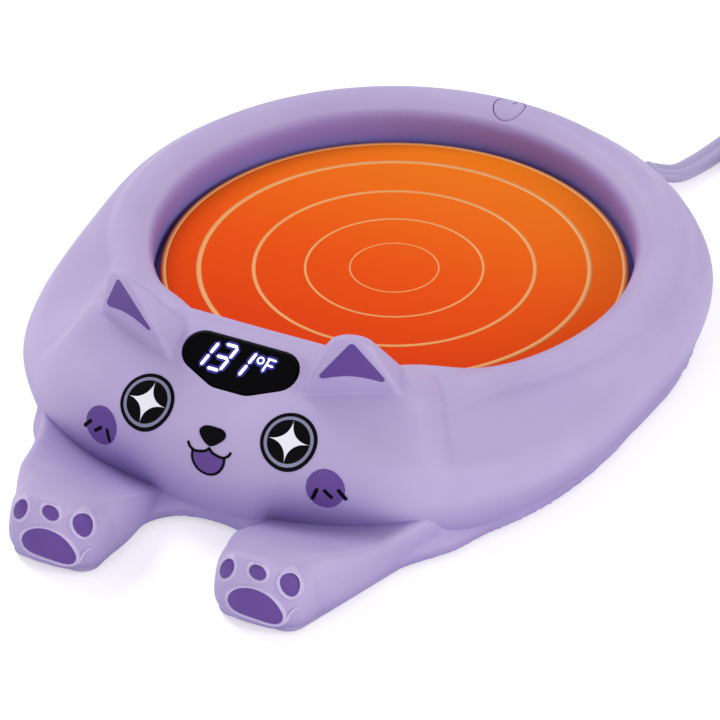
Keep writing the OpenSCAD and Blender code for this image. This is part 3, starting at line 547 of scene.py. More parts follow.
def headSection(edge, turn):
    bowlR, top = body["bowlR"], body["ringTop"]
    bend = np.minimum(np.abs(turn), math.radians(body["ridgeBend"]))
    ridgeR = bowlR + body["ridgeOut"]
    ridge = np.minimum(ridgeR / np.cos(bend), edge - 13)
    aside = np.minimum(0.94, ridgeR * np.tan(bend) / body["headHalfW"])
    crest = mix(body["headTop"], body["ridgeEnd"], 1 - (1 - aside ** 3) ** (1 / 3))
    span = edge - ridge
    aimed = (np.degrees(np.abs(turn)) - body["rimLiftTurn"]) / body["rimLiftSpread"]
    lift = body["rimLift"] * np.exp(-aimed ** 2)
    foot = body["headFoot"]
    rise = (crest - foot) / (body["headTop"] - foot)
    one = np.ones_like(edge)
    return [
        (edge - body["bandInset"], one * body["seamZ"]), (edge - 1, one * 8), (edge, one * 13),
        (edge - 0.4, foot + 4 * rise), (edge - 0.12 * span, foot + 9.3 * rise),
        (edge - 0.44 * span, foot + 15.5 * rise), (edge - 0.74 * span, foot + 20.6 * rise),
        (ridge + 0.5, crest), (mix(ridge, bowlR, 0.27), mix(crest, top, 0.11) + 0.4 * lift),
        (mix(ridge, bowlR, 0.62), mix(crest, top, 0.6) + lift), (one * (bowlR + 1.4), top + 0.2 + lift),
        (one * bowlR, one * (top - body["ringLip"] + 0.6)),
    ]


# The head's section fades into the ring's.
def bodySection(turn):
    edge = outlineR(turn)
    off = np.degrees(np.abs(turn))
    share = ease((body["headEndTurn"] - off) / (body["headEndTurn"] - body["headFullTurn"]))
    ring, head = ringSection(edge), headSection(edge, turn)
    return [(mix(a[0], b[0], share), mix(a[1], b[1], share)) for a, b in zip(ring, head)]


# Signed distance to the solid under the body's skin, down to far below the table.
def bodyField(x, y, z, steps=4):
    turn = np.arctan2(x, plateY - y)
    radius = np.hypot(x, plateY - y)
    section = bodySection(turn)
    deep = np.full_like(radius, -8.0)
    best = np.full_like(radius, 1e9)
    inside = np.zeros(radius.shape, bool)

    def edgeTo(r1, z1, r2, z2):
        nonlocal best, inside
        dr, dz = r2 - r1, z2 - z1
        along = np.clip(((radius - r1) * dr + (z - z1) * dz) / (dr * dr + dz * dz + 1e-9), 0, 1)
        gap = (radius - r1 - along * dr) ** 2 + (z - z1 - along * dz) ** 2
        best = np.minimum(best, gap)
        crosses = (z1 > z) != (z2 > z)
        inside ^= crosses & (radius < dr * (z - z1) / (dz + 1e-12) + r1)

    last = len(section) - 1
    before = (section[0][0], deep)
    for i in range(last):
        p0, p1, p2, p3 = section[max(0, i - 1)], section[i], section[i + 1], section[min(last, i + 2)]
        for s in range(steps):
            t = s / steps
            here = tuple(0.5 * (2 * p1[c] + (p2[c] - p0[c]) * t
                                + (2 * p0[c] - 5 * p1[c] + 4 * p2[c] - p3[c]) * t * t
                                + (3 * p1[c] - p0[c] - 3 * p2[c] + p3[c]) * t ** 3) for c in (0, 1))
            edgeTo(before[0], before[1], here[0], here[1])
            before = here
    edgeTo(before[0], before[1], section[last][0], section[last][1])
    edgeTo(section[last][0], section[last][1], section[last][0], deep)
    return np.where(inside, -1, 1) * np.sqrt(best)


# An ear is an arch in its own plane, thick at its foot and thin at its tip.
def earField(x, y, z):
    turn = math.radians(ear["turn"])
    dx, dy = np.abs(x) - ear["x"], y - (plateY - ear["forward"])
    u = dx * math.cos(turn) + dy * math.sin(turn)
    v = z - ear["footZ"]
    w = -dx * math.sin(turn) + dy * math.cos(turn) + ear["lean"] * v
    rise, r = ear["height"] - ear["tipRound"], ear["tipRound"]
    foot = math.hypot(ear["width"] / 2, rise)
    lean = math.acos(r / foot) - math.atan2(rise, ear["width"] / 2)
    qx, qy = np.abs(u), v - rise
    arch = np.where(qy * math.cos(lean) - qx * math.sin(lean) > 0, np.hypot(qx, qy),
                    qx * math.cos(lean) + qy * math.sin(lean)) - r
    fall = (ear["footDepth"] - ear["tipThick"]) / (ear["height"] + 1)
    back = (w - ear["footDepth"] + fall * (v + 1)) / math.hypot(1, fall)
    k = ear["edgeRound"]
    return np.maximum(softMax(softMax(arch, -w, k), back, k), -3.5 - v)


def skinField(x, y, z):
    return softMin(bodyField(x, y, z), earField(x, y, z), ear["fillet"])


def upperField(x, y, z):
    plain = bodyField(x, y, z)
    skin = softMin(plain, earField(x, y, z), ear["fillet"])
    wall = mix(body["wall"], body["headWall"], ease((z - body["thickerFrom"]) / body["thickerOver"]))
    keep = np.minimum(body["bowlWallFoot"] - z, body["bowlR"] + body["bowlWall"] - np.hypot(x, plateY - y))
    return np.maximum(np.maximum(skin, -(plain + wall)), keep)


# Signed distance to a polygon in the plan, corners in order.
def polygonField(px, py, corners):
    best = np.full_like(px, 1e9)
    inside = np.zeros(px.shape, bool)
    for i in range(len(corners)):
        (x1, y1), (x2, y2) = corners[i - 1], corners[i]
        dx, dy = x2 - x1, y2 - y1
        t = np.clip(((px - x1) * dx + (py - y1) * dy) / (dx * dx + dy * dy + 1e-9), 0, 1)
        best = np.minimum(best, (px - x1 - t * dx) ** 2 + (py - y1 - t * dy) ** 2)
        inside ^= ((y1 > py) != (y2 > py)) & (px < dx * (py - y1) / (dy + 1e-12) + x1)
    return np.where(inside, -1, 1) * np.sqrt(best)


# The leg's plan: round front corners at "front", spread to both sides by "spread".
def legPlan(across, forward, front, spread):
    r, half = leg["cornerR"], leg["width"] / 2 + spread
    (innerX, rootForward), (outerX, outerForward) = leg["rootInner"], leg["rootOuter"]
    inner, outer, turnOff = leg["x"] - half + r, leg["x"] + half - r, leg["front"] - r
    corners = [(inner, turnOff), (inner, front - r), (outer, front - r), (outer, turnOff),
               (outerX + spread, outerForward), (innerX - spread, rootForward)]
    share = ease((forward - rootForward) / (leg["front"] - r - rootForward))
    return polygonField(across, forward, corners) - mix(leg["rootR"], r, share)


def legField(x, y, z):
    across, forward = np.abs(x), plateY - y
    ahead = np.clip((forward - leg["draftFrom"]) / leg["draftOver"], 0, 1)
    narrow = leg["draft"] * np.maximum(z - leg["draftZ"], 0) * ahead
    sides = legPlan(across, forward, leg["front"] + 30, 0) + narrow
    fromLip = ease((leg["front"] - 1 - forward) / leg["lipOver"])
    front = legPlan(across, forward, leg["front"], leg["lipSpread"]) + narrow * fromLip
    behind = leg["ridge"] - forward
    ridged = np.sqrt(behind * behind + leg["ridgeRound"] ** 2) + behind
    drop = softMin(leg["slope"] * ridged / 2, leg["fall"], leg["fallRound"])
    sideways = leg["lean"] * (across - leg["x"]) * np.clip(behind / leg["leanOver"], 0, leg["leanMost"])
    cap = (z - leg["height"] - leg["ridgeLift"] + drop - sideways) / math.hypot(1, leg["slope"])
    crown = mix(leg["topRound"], leg["backRound"], ease(behind / leg["crownOver"]))
    bar = softMax(softMax(sides, cap, crown), front, leg["lipRound"])
    return softMax(bar, leg["footZ"] - z, leg["footRound"])


# The band under the seam with both legs; low down a wide web joins them.
def baseField(x, y, z):
    turn = np.arctan2(x, plateY - y)
    band = np.hypot(x, plateY - y) - outlineR(turn, body["bandInset"] + body["bandStep"])
    web = mix(leg["webRound"], leg["webTopRound"], ease((z - leg["webFrom"]) / leg["webOver"]))
    return softMin(legField(x, y, z), band, web)


# Above the seam only a thin edge of the lower shell stays, tucked under the upper shell's skin.
# It is hollow above a ledge, into which the bottom cover is let.
def lowerField(x, y, z):
    base = baseField(x, y, z)
    byLeg = np.clip((4 - legField(x, y, z)) / 3, 0, 1)
    room = baseField(x, y, np.maximum(z, body["hollowFrom"])) + body["footWall"]
    hollow = np.maximum(room, body["ledgeTop"] - z)
    top = mix(body["skirtTop"], body["skirtTopByLeg"], byLeg)
    solid = np.maximum(np.maximum(base, z - top), -hollow)
    tuck = mix(body["tuckBelow"], body["tuckAbove"], ease(z - body["seamZ"] + 1.2))
    bowl = np.hypot(x, plateY - y) - body["bowlR"] - body["bowlClear"]
    return np.maximum(np.maximum(solid, body["baseZ"] - z), np.maximum(-(bodyField(x, y, z) + tuck), -bowl))


# Grid lines from low to high: "step" apart, and "fine" apart within the span.
def gridLines(low, high, step, fine, span):
    lines = [low]
    while lines[-1] < high:
        close = span and span[0] - step < lines[-1] < span[1]
        lines.append(lines[-1] + (fine if close else step))
    return np.array(lines)


# One point in each cell that the surface crosses, and a quad about each grid edge that it crosses.
# The field is worked out for x from 0 up and mirrored.
def surfaceOf(field, low, high, step, fine, spans):
    half, *others = [gridLines(a, b, step, fine, span) for a, b, span in zip(low, high, spans)]
    axes = [np.concatenate([-half[:0:-1], half])] + others
    counts = [len(a) for a in axes]
    gx, gy, gz = np.meshgrid(half, *others, indexing="ij")
    values = field(gx.ravel(), gy.ravel(), gz.ravel()).reshape(gx.shape)
    values = np.concatenate([values[:0:-1], values], axis=0)
    sign = values < 0
    corner = np.zeros([n - 1 for n in counts], int)
    for i in (0, 1):
        for j in (0, 1):
            for k in (0, 1):
                corner += sign[i:counts[0] - 1 + i, j:counts[1] - 1 + j, k:counts[2] - 1 + k]
    active = (corner > 0) & (corner < 8)
    label = np.full(active.shape, -1)
    cells = np.argwhere(active)
    label[active] = np.arange(len(cells))
    total = np.zeros((len(cells), 3))
    hits = np.zeros(len(cells))
    offsets = [(i, j, k) for i in (0, 1) for j in (0, 1) for k in (0, 1)]
    for a in offsets:
        for b in offsets:
            if sum(b) - sum(a) != 1 or any(q < p for p, q in zip(a, b)):
                continue
            va = values[cells[:, 0] + a[0], cells[:, 1] + a[1], cells[:, 2] + a[2]]
            vb = values[cells[:, 0] + b[0], cells[:, 1] + b[1], cells[:, 2] + b[2]]
            cut = (va < 0) != (vb < 0)
            t = np.where(cut, va / np.where(cut, va - vb, 1), 0)
            place = np.array(a) + t[:, None] * (np.array(b) - np.array(a))
            total += np.where(cut[:, None], place, 0)
            hits += cut
    index = cells + total / hits[:, None]
    points = np.stack([np.interp(index[:, c], np.arange(counts[c]), axes[c]) for c in range(3)], axis=1)
    faces = []
    for axis in range(3):
        one = [0, 0, 0]
        one[axis] = 1
        first = sign[:counts[0] - one[0], :counts[1] - one[1], :counts[2] - one[2]]
        second = sign[one[0]:, one[1]:, one[2]:]
        for rising in (True, False):
            at = np.argwhere((first & ~second) if rising else (~first & second))
            b, c = (axis + 1) % 3, (axis + 2) % 3
            ok = (at[:, b] > 0) & (at[:, c] > 0) & (at[:, b] < counts[b] - 1) & (at[:, c] < counts[c] - 1)
            at = at[ok]
            quad = []
            for db, dc in ((1, 1), (0, 1), (0, 0), (1, 0)):
                cell = at.copy()
                cell[:, b] -= db
                cell[:, c] -= dc
                quad.append(label[cell[:, 0], cell[:, 1], cell[:, 2]])
            quad = np.stack(quad, axis=1)
            faces.append(quad if rising else quad[:, ::-1])
    return points, np.concatenate(faces)


def gradientOf(field, p, step=0.02):
    d = np.empty_like(p)
    for c in range(3):
        q = p.copy()
        q[:, c] += step
        r = p.copy()
        r[:, c] -= step
        d[:, c] = field(*q.T) - field(*r.T)
    return d / (2 * step)


# Moves points onto the field's surface; one that would miss it stays where it was.
def settle(field, start, rounds=3, most=0.5):
    p = start
    for _ in range(rounds):
        value = field(*p.T)
        slope = gradientOf(field, p)
        move = -value[:, None] * slope / np.maximum((slope ** 2).sum(1), 0.2)[:, None]
        size = np.linalg.norm(move, axis=1)
        p = p + move * np.minimum(1, most / np.maximum(size, 1e-9))[:, None]
    missed = np.abs(field(*p.T)) > 0.08
    return np.where(missed[:, None], start, p)


def fieldMesh(name, field, low, high, step, material, fine=0, spans=(None, None, None)):
    points, faces = surfaceOf(field, low, high, step, fine, spans)
    points = settle(field, points)
    mesh = bpy.data.meshes.new(name)
    mesh.vertices.add(len(points))
    mesh.vertices.foreach_set("co", (points * mm).astype(np.float32).ravel())
    mesh.loops.add(faces.size)
    mesh.loops.foreach_set("vertex_index", faces.astype(np.int32).ravel())
    mesh.polygons.add(len(faces))
    mesh.polygons.foreach_set("loop_start", np.arange(0, faces.size, 4, dtype=np.int32))
    mesh.update(calc_edges=True)
    mesh.validate()
    obj = bpy.data.objects.new(name, mesh)
    bpy.context.scene.collection.objects.link(obj)
    obj.data.materials.append(material)
    return obj


# Cuts a mesh off level below a height and fills the cut between its edges.
def flatCut(obj, height):
    work = bmesh.new()
    work.from_mesh(obj.data)
    everything = list(work.verts) + list(work.edges) + list(work.faces)
    bmesh.ops.bisect_plane(work, geom=everything, dist=1e-6, plane_co=(0, 0, height * mm),
                           plane_no=(0, 0, 1), clear_inner=True)
    rim = [e for e in work.edges if e.is_boundary]
    bmesh.ops.triangle_fill(work, edges=rim, use_beauty=True)
    bmesh.ops.recalc_face_normals(work, faces=work.faces)
    work.to_mesh(obj.data)
    work.free()


# Takes the cutter's solid out of a piece, and the cutter out of the scene.
def cutWith(obj, cutter):
    outwards(cutter)
    tool = obj.modifiers.new("cut", "BOOLEAN")
    tool.operation = "DIFFERENCE"
    tool.object = cutter
    tool.solver = "EXACT"
    applyModifiers(obj)
    bpy.data.objects.remove(cutter)


studio = {
    "worldLevel": 0.44,
    "worldTint": (0.95, 0.91, 1.0, 1.0),
    "floorShade": 0.9,
    "floorGlow": 0.5,
    "floorReach": 3.0,
    "floorDrop": 0.0002,
    "lamps": [
        # place, aim and width in metres, and power in watts
        ((-1.05, 0.4, 1.2), (0, 0, 0.01), 0.8, 11.4),
        ((1.35, -0.05, 0.6), (0, 0.03, 0.01), 0.9, 8.0),
        ((0.0, -1.75, 0.16), (0, -0.03, 0.01), 0.9, 9.5),
    ],
}


def makeWorld():
    world = bpy.data.worlds.new("studioWorld")
    bpy.context.scene.world = world
    world.use_nodes = True
    tree = world.node_tree
    tree.nodes.clear()
    out = addNode(tree, "ShaderNodeOutputWorld")
    soft = addNode(tree, "ShaderNodeBackground")
    soft.inputs["Color"].default_value = studio["worldTint"]
    soft.inputs["Strength"].default_value = studio["worldLevel"]
    white = addNode(tree, "ShaderNodeBackground")
    white.inputs["Color"].default_value = (1, 1, 1, 1)
    white.inputs["Strength"].default_value = 1.0
    tree.links.new(seenDirectly(tree), joinShaders(tree, soft, white, out))


# A socket that is 1 for rays from the camera, in mirrors and through glass.
def seenDirectly(tree):
    path = addNode(tree, "ShaderNodeLightPath")
    first = addNode(tree, "ShaderNodeMath", operation="MAXIMUM")
    second = addNode(tree, "ShaderNodeMath", operation="MAXIMUM")
    tree.links.new(path.outputs["Is Camera Ray"], first.inputs[0])
    tree.links.new(path.outputs["Is Glossy Ray"], first.inputs[1])
    tree.links.new(first.outputs[0], second.inputs[0])
    tree.links.new(path.outputs["Is Transmission Ray"], second.inputs[1])
    return second.outputs[0]


# Blends two shaders into the output and gives back the blend's own socket.
def joinShaders(tree, plain, shown, out):
    blend = addNode(tree, "ShaderNodeMixShader")
    tree.links.new(plain.outputs[0], blend.inputs[1])
    tree.links.new(shown.outputs[0], blend.inputs[2])
    tree.links.new(blend.outputs[0], out.inputs["Surface"])
    return blend.inputs["Fac"]


def makeFloor():
    material = bpy.data.materials.new("paleFloor")
    material.use_nodes = True
    tree = material.node_tree
    tree.nodes.clear()
    out = addNode(tree, "ShaderNodeOutputMaterial")
    matt = addNode(tree, "ShaderNodeBsdfDiffuse")
    matt.inputs["Color"].default_value = (studio["floorShade"],) * 3 + (1,)
    lift = addNode(tree, "ShaderNodeEmission")
    lift.inputs["Color"].default_value = (1, 1, 1, 1)
    lift.inputs["Strength"].default_value = studio["floorGlow"]
    both = addNode(tree, "ShaderNodeAddShader")
    tree.links.new(matt.outputs[0], both.inputs[0])
    tree.links.new(lift.outputs[0], both.inputs[1])
    tree.links.new(seenDirectly(tree), joinShaders(tree, matt, both, out))
    reach, level = studio["floorReach"], -studio["floorDrop"]
    corners = [(-reach, -reach, level), (reach, -reach, level), (reach, reach, level), (-reach, reach, level)]
    addMesh("studioFloor", corners, [(0, 1, 2, 3)], material, scale=1)


def makeLamps():
    for i, (place, aim, width, power) in enumerate(studio["lamps"]):
        data = bpy.data.lights.new(f"softLamp{i}", "AREA")
        data.shape = "DISK"
        data.size = width
        data.energy = power
        lamp = bpy.data.objects.new(f"softLamp{i}", data)
        lamp.location = place
        lamp.rotation_euler = (Vector(aim) - lamp.location).to_track_quat("-Z", "Y").to_euler()
        bpy.context.scene.collection.objects.link(lamp)


makeWorld()
makeFloor()
makeLamps()
bpy.context.scene.view_settings.view_transform = "Standard"
print("studio ready")


seamTop = body["seamZ"] + body["seamGap"] / 2
reachX = body["sideW"] + 1.5
reachFront = -(cadLow.y / mm) + 2
reachRear = body["rearLen"] + plateY + 1.5
window = {
    "forward": 72.6, "z": 33.2, "tilt": 38.0, "width": 26.5, "height": 12.0, "sideR": 4.4, "lowR": 4.6,
    "lowX": 3.0, "drop": 0.6, "gap": 0.15, "draft": 0.16, "thick": 2.0,
    "cutFrom": -7.5, "cutTo": 9.0, "edgeSteps": 12,
}
key = {
    "r": 3.42, "gap": 0.18, "cutFrom": 15.0, "cutTo": 26.0, "deep": 2.4,
    "tick": [(0.5, 0.9), (0.9, 2.2)], "tickWidth": 0.34, "tickHigh": 0.1,
}
keyY = plateY + body["bowlR"] + body["ringLip"]
relief = {
    "side": 20.0, "z": 6.5, "turn": 54.0, "drop": 10.0, "length": 12.5, "neck": 6.6, "flange": 1.6,
    "flangeOver": 2.6, "width": 8.4, "height": 4.8, "tipWidth": 6.2, "tipHeight": 3.5, "ribs": 5,
    "cutHalf": 4.4, "cutFrom": -9.6, "cutTo": 8.0, "cutLow": -9, "cutHigh": 2.7,
}


# Points of the window's outline, anticlockwise: arcs about four corner centres.
def windowOutline(grow, steps=10):
    w, h = window["width"] / 2, window["height"] / 2
    sideR, lowR = window["sideR"], window["lowR"]
    upper, lower = (w - sideR, h - sideR - window["drop"]), (window["lowX"], -h + lowR)
    dx, dy = upper[0] - lower[0], upper[1] - lower[1]
    span = math.hypot(dx, dy)
    lean = math.atan2(dy, dx) - math.pi / 2 - math.asin((sideR - lowR) / span)
    arcs = [(lower[0], lower[1], lowR, -math.pi / 2, lean), (upper[0], upper[1], sideR, lean, math.pi / 2)]
    points = []
    for cx, cy, r, a, b in arcs:
        for i in range(steps + 1):
            t = a + (b - a) * i / steps
            points.append((cx + (r + grow) * math.cos(t), cy + (r + grow) * math.sin(t)))
    return points + [(-x, y) for x, y in reversed(points)]


def windowPlace():
    return (Matrix.Translation((0, plateY - window["forward"], window["z"]))
            @ Matrix.Rotation(math.radians(window["tilt"]), 4, "X"))


# The window's opening widens above the skin's level.
def windowCutter():
    place = windowPlace()
    rings = []
    for depth in (window["cutFrom"], -2.0, 0.0, 5.0, window["cutTo"]):
        grow = window["gap"] + max(0.0, depth) * window["draft"]
        rings.append([place @ Vector((x, y, depth)) for x, y in windowOutline(grow)])
    points, faces = loft(rings)
    return addMesh("windowCutter", points, faces, lavender)


def keyCutter():
    outline = circle(key["r"] + key["gap"])
    points, faces = loft([[(x, keyY + y, z) for x, y in outline] for z in (key["cutFrom"], key["cutTo"])])
    return addMesh("keyCutter", points, faces, lavender)


# Where the relief leaves the rear wall, with its length along x.
def reliefPlace():
    along = body["rearLen"] * math.sqrt(1 - (relief["side"] / body["sideW"]) ** 2)
    return (Matrix.Translation((relief["side"], plateY + along, relief["z"]))
            @ Matrix.Rotation(math.radians(relief["turn"]), 4, "Z")
            @ Matrix.Rotation(math.radians(relief["drop"]), 4, "Y"))


def reliefCutter():
    place = reliefPlace()
    half, low, high = relief["cutHalf"], relief["cutLow"], relief["cutHigh"]
    section = [(-half, low), (half, low), (half, high), (-half, high)]
    points, faces = loft([[place @ Vector((x, y, z)) for y, z in section]
                          for x in (relief["cutFrom"], relief["cutTo"])])
    return addMesh("reliefCutter", points, faces, lavender)


# Steps of the grids that the shells are worked out on, finer about the ears.
grid = {"upper": 1.12, "ears": 0.62, "lower": 0.8}
earY = plateY - ear["forward"]
earSpans = ((ear["x"] - 12, ear["x"] + 12), (earY - 9, earY + 14), (ear["footZ"] - 2, cadHigh.z / mm))
upperShell = fieldMesh("upperShell", upperField, (0, -70, -1), (reachX, reachRear, 51), grid["upper"],
                       lavender, grid["ears"], earSpans)
flatCut(upperShell, seamTop)
for cutter in (windowCutter(), keyCutter(), reliefCutter()):
    cutWith(upperShell, cutter)
shadeSmooth(upperShell, 38)
finishPiece(upperShell, "casing", "body_lavender", "upper_shell")
print("upper shell:", len(upperShell.data.polygons), "faces")


# The bottom cover's outline, walked along the open edges of its underside.
def coverOutline():
    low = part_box("bottom_cover")[0].z
    work = bmesh.new()
    work.from_mesh(nodes["bottom_cover"].data)
    bmesh.ops.remove_doubles(work, verts=work.verts, dist=1e-6)
    under = [f for f in work.faces if f.normal.z < -0.99 and abs(f.calc_center_median().z - low) < 2e-5]
    seen = {}
    for f in under:
        for e in f.edges:
            seen[e] = seen.get(e, 0) + 1
    links = {}
    for e, count in seen.items():
        if count == 1:
            a, b = e.verts
            links.setdefault(a, []).append(b)
            links.setdefault(b, []).append(a)
    start = min(links, key=lambda v: v.co.x)
    loop, before, here = [start], None, start
    for _ in links:
        before, here = here, next(v for v in links[here] if v is not before)
        if here is start:
            break
        loop.append(here)
    outline = [(v.co.x / mm, v.co.y / mm) for v in loop]
    work.free()
    return outline


# Grows an outline outwards by an amount, or shrinks it by a negative one.
def spread(outline, amount):
    p = np.asarray(outline, float)
    d = np.roll(p, -1, 0) - np.roll(p, 1, 0)
    d = d / np.linalg.norm(d, axis=1)[:, None]
    turning = np.sum(p[:, 0] * np.roll(p[:, 1], -1) - np.roll(p[:, 0], -1) * p[:, 1])
    n = np.stack([d[:, 1], -d[:, 0]], axis=1) * (1 if turning > 0 else -1)
    return [tuple(q) for q in p + n * amount]


def coverCutter():
    outline = spread(coverOutline(), body["coverGap"])
    points, faces = loft([[(x, y, z) for x, y in outline] for z in (-1.0, body["ledgeTop"] + 1.0)])
    return addMesh("coverCutter", points, faces, lavender)


lowerShell = fieldMesh("lowerShell", lowerField, (0, -reachFront, -2), (reachX, reachRear, 19.5),
                       grid["lower"], lavender)
cutWith(lowerShell, coverCutter())
shadeSmooth(lowerShell, 38)
finishPiece(lowerShell, "casing", "body_lavender", "lower_shell")
print("lower shell:", len(lowerShell.data.polygons), "faces")


lead = {
    "width": 5.4, "thick": 2.8, "groove": 0.28,
    "coilAt": (77.0, 132.0), "coilOuter": 40.0, "coilInner": 24.8, "coilTurns": 5, "coilStart": 170.0,
    "layers": (1.5, 4.4), "stepsPerTurn": 40,
    "toCoil": [(30.5, 102, 2.4), (32.4, 108.5, 1.6), (34, 115, 1.5), (35.4, 122, 1.5), (36.6, 130, 1.5)],
    "toPlug": [(117, 126, 4.6), (117, 119, 5.3), (117, 111, 6.3), (117, 104, 6.5)],
}


# The stored turns: inwards in the lower layer, then outwards on top of it.
def coilPoints():
    sweep = lead["coilStart"] + 360 * lead["coilTurns"]
    steps = int(sweep / 360 * lead["stepsPerTurn"])
    low, high = lead["layers"]
    points = []
    for i in range(steps + 1):
        share = i / steps
        turn = math.radians(lead["coilStart"] - sweep * share)
        r = mix(lead["coilOuter"], lead["coilInner"], 1 - abs(1 - 2 * share))
        climb = float(ease((share - 0.47) / 0.032))
        z = low + (high - low) * climb
        points.append((lead["coilAt"][0] + r * math.cos(turn), lead["coilAt"][1] + r * math.sin(turn), z))
    return points


def leadRoute():
    tip = reliefPlace() @ Vector((relief["length"], 0, 0))
    coil = coilPoints()
    start = catmull([tuple(tip)] + lead["toCoil"] + [coil[0]], 4)[:-1]
    end = catmull([coil[-1]] + lead["toPlug"], 4)[1:]
    return [Vector(p) for p in [*start, *coil, *end]]


# Two round cores side by side under one skin, with a groove along the middle of each face.
def leadSection(w, t, steps=7):
    r = t / 2
    centre = w / 2 - r
    arc = math.pi - math.acos(min(1.0, (centre - lead["groove"]) / r))
    points = []
    for side in (1, -1):
        for i in range(-steps, steps + 1):
            a = arc * i / steps
            points.append((side * (centre + r * math.cos(a)), side * r * math.sin(a)))
    return points


# A section carried along a route, with its width kept level.
def sweep(route, section):
    rings = []
    for i, p in enumerate(route):
        d = (route[min(len(route) - 1, i + 1)] - route[max(0, i - 1)]).normalized()
        across = Vector((0, 0, 1)).cross(d).normalized()
        up = d.cross(across)
        rings.append([p + across * u + up * v for u, v in section])
    return loft(rings)


def makeLead():
    route = leadRoute()
    points, faces = sweep(route, leadSection(lead["width"], lead["thick"]))
    obj = addMesh("mainsLead", points, faces, cordLavender, 50)
    outwards(obj)
    shadeSmooth(obj, 50)
    return obj, route


def makeRelief():
    place = reliefPlace()
    r = relief
    flangeW, flangeH = r["width"] + r["flangeOver"], r["height"] + 0.3
    stations = [(-r["neck"] - r["flange"], flangeW, flangeH), (-r["neck"], flangeW, flangeH),
                (-r["neck"] + 0.01, r["width"], r["height"]), (0.0, r["width"], r["height"])]
    ribLength = r["length"] / (r["ribs"] + 0.5)
    for i in range(r["ribs"]):
        for part, size in ((0.0, 1.0), (0.12, 1.04), (0.55, 1.03), (0.68, 0.84), (0.94, 0.82)):
            along = (i + part) * ribLength
            share = along / r["length"]
            stations.append((along + 0.15, mix(r["width"], r["tipWidth"], share) * size,
                             mix(r["height"], r["tipHeight"], share) * size))
    stations.append((r["length"] - 0.9, r["tipWidth"], r["tipHeight"]))
    stations.append((r["length"] - 0.2, r["tipWidth"] * 0.98, r["tipHeight"] * 0.98))
    stations.append((r["length"], r["tipWidth"] * 0.9, r["tipHeight"] * 0.9))
    rings = [[place @ Vector((x, u, v)) for u, v in superSection(w, h, 3.0, 32)] for x, w, h in stations]
    points, faces = loft(rings)
    obj = addMesh("strainRelief", points, faces, cordLavender, 40)
    outwards(obj)
    shadeSmooth(obj, 40)
    return finishPiece(obj, "casing", "cord_lavender", "strain_relief")


plug = {
    "at": (117.0, 104.0), "width": 22.0, "thick": 13.0, "length": 26.0, "taper": 4, "taperThick": 2,
    "neckW": 9.4, "neckT": 6.8, "neckL": 6.0, "grips": 5, "gripDeep": 0.55, "square": 5.5,
}


def makePlug():
    x, y = plug["at"]
    z = plug["thick"] / 2
    wide, thick, long, square = plug["width"], plug["thick"], plug["length"], plug["square"]
    neckW, neckT, neckL = plug["neckW"], plug["neckT"], plug["neckL"]
    narrow, thin = wide - plug["taper"], thick - plug["taperThick"]
    # along, width, thickness and squareness of each section
    stations = [(0.0, neckW * 0.86, neckT * 0.84, 2.4), (0.5, neckW, neckT, 2.6),
                (2.4, neckW + 1.4, neckT + 0.8, 2.8), (neckL, narrow, thin, 3.2)]
    gripFrom, gripTo = neckL + 2.0, long - 6.0
    pitch = (gripTo - gripFrom) / plug["grips"]
    for i in range(plug["grips"]):
        start = mix(gripFrom, gripTo, i / plug["grips"])
        for part, sink in ((0.1, 0.0), (0.25, plug["gripDeep"]), (0.55, plug["gripDeep"]), (0.7, 0.0)):
            along = start + part * pitch
            share = (along - neckL) / (long - neckL)
            w = mix(narrow, wide - 0.6, share) - sink
            t = mix(thin, thick - 0.4, share) - sink
            stations.append((along, w, t, mix(3.2, 5.0, share)))
    stations += [(long - 4.4, wide, thick, square), (long - 0.8, wide, thick, square),
                 (long - 0.2, wide - 0.5, thick - 0.5, square), (long, wide - 1.4, thick - 1.4, square)]
    rings = [[(x + u, y - along, z + v) for u, v in superSection(w, t, p, 56)] for along, w, t, p in stations]
    points, faces = loft(rings)
    obj = addMesh("plugBody", points, faces, cordLavender, 34)
    outwards(obj)
    shadeSmooth(obj, 34)
    return finishPiece(obj, "casing", "cord_lavender", "plug_body")


tie = {"turn": -60, "half": 1.9, "bevel": 0.2, "inside": 2.75, "outside": 2.72, "high": 5.8, "most": 5.85,
       "swell": 0.02, "thick": 0.5}


# A soft tie holds the stored turns together.
def makeTie():
    cx, cy = lead["coilAt"]
    turn = math.radians(tie["turn"])
    inner, outer = lead["coilInner"] - tie["inside"], lead["coilOuter"] + tie["outside"]
    section = superSection(outer - inner + 0.08, tie["high"] + 0.1, 12, 48)
    path = [(u + (outer + inner) / 2, v + tie["high"] / 2) for u, v in section]
    half, flat, full = tie["half"], tie["half"] - tie["bevel"], tie["swell"]
    rings = []
    for along, swell in ((-half, 0.0), (-flat, full), (flat, full), (half, 0.0)):
        rings.append([(cx + r * math.cos(turn) - along * math.sin(turn),
                       cy + r * math.sin(turn) + along * math.cos(turn),
                       max(0.0, min(tie["most"], z)) + swell) for r, z in path])
    points, faces = loft(rings, capped=False)
    obj = addMesh("coilTie", points, faces, blackPlastic, 40)
    outwards(obj)
    thick = obj.modifiers.new("thickness", "SOLIDIFY")
    thick.thickness = tie["thick"] * mm
    thick.offset = -1
    applyModifiers(obj)
    outwards(obj)
    return finishPiece(obj, "casing", "black_plastic")


mainsLead, route = makeLead()
strainRelief = makeRelief()
plugBody = makePlug()
coilTie = makeTie()
finishPiece(mainsLead, "casing", "cord_lavender", "cord_lead", "cord_coil", "cord_tail")


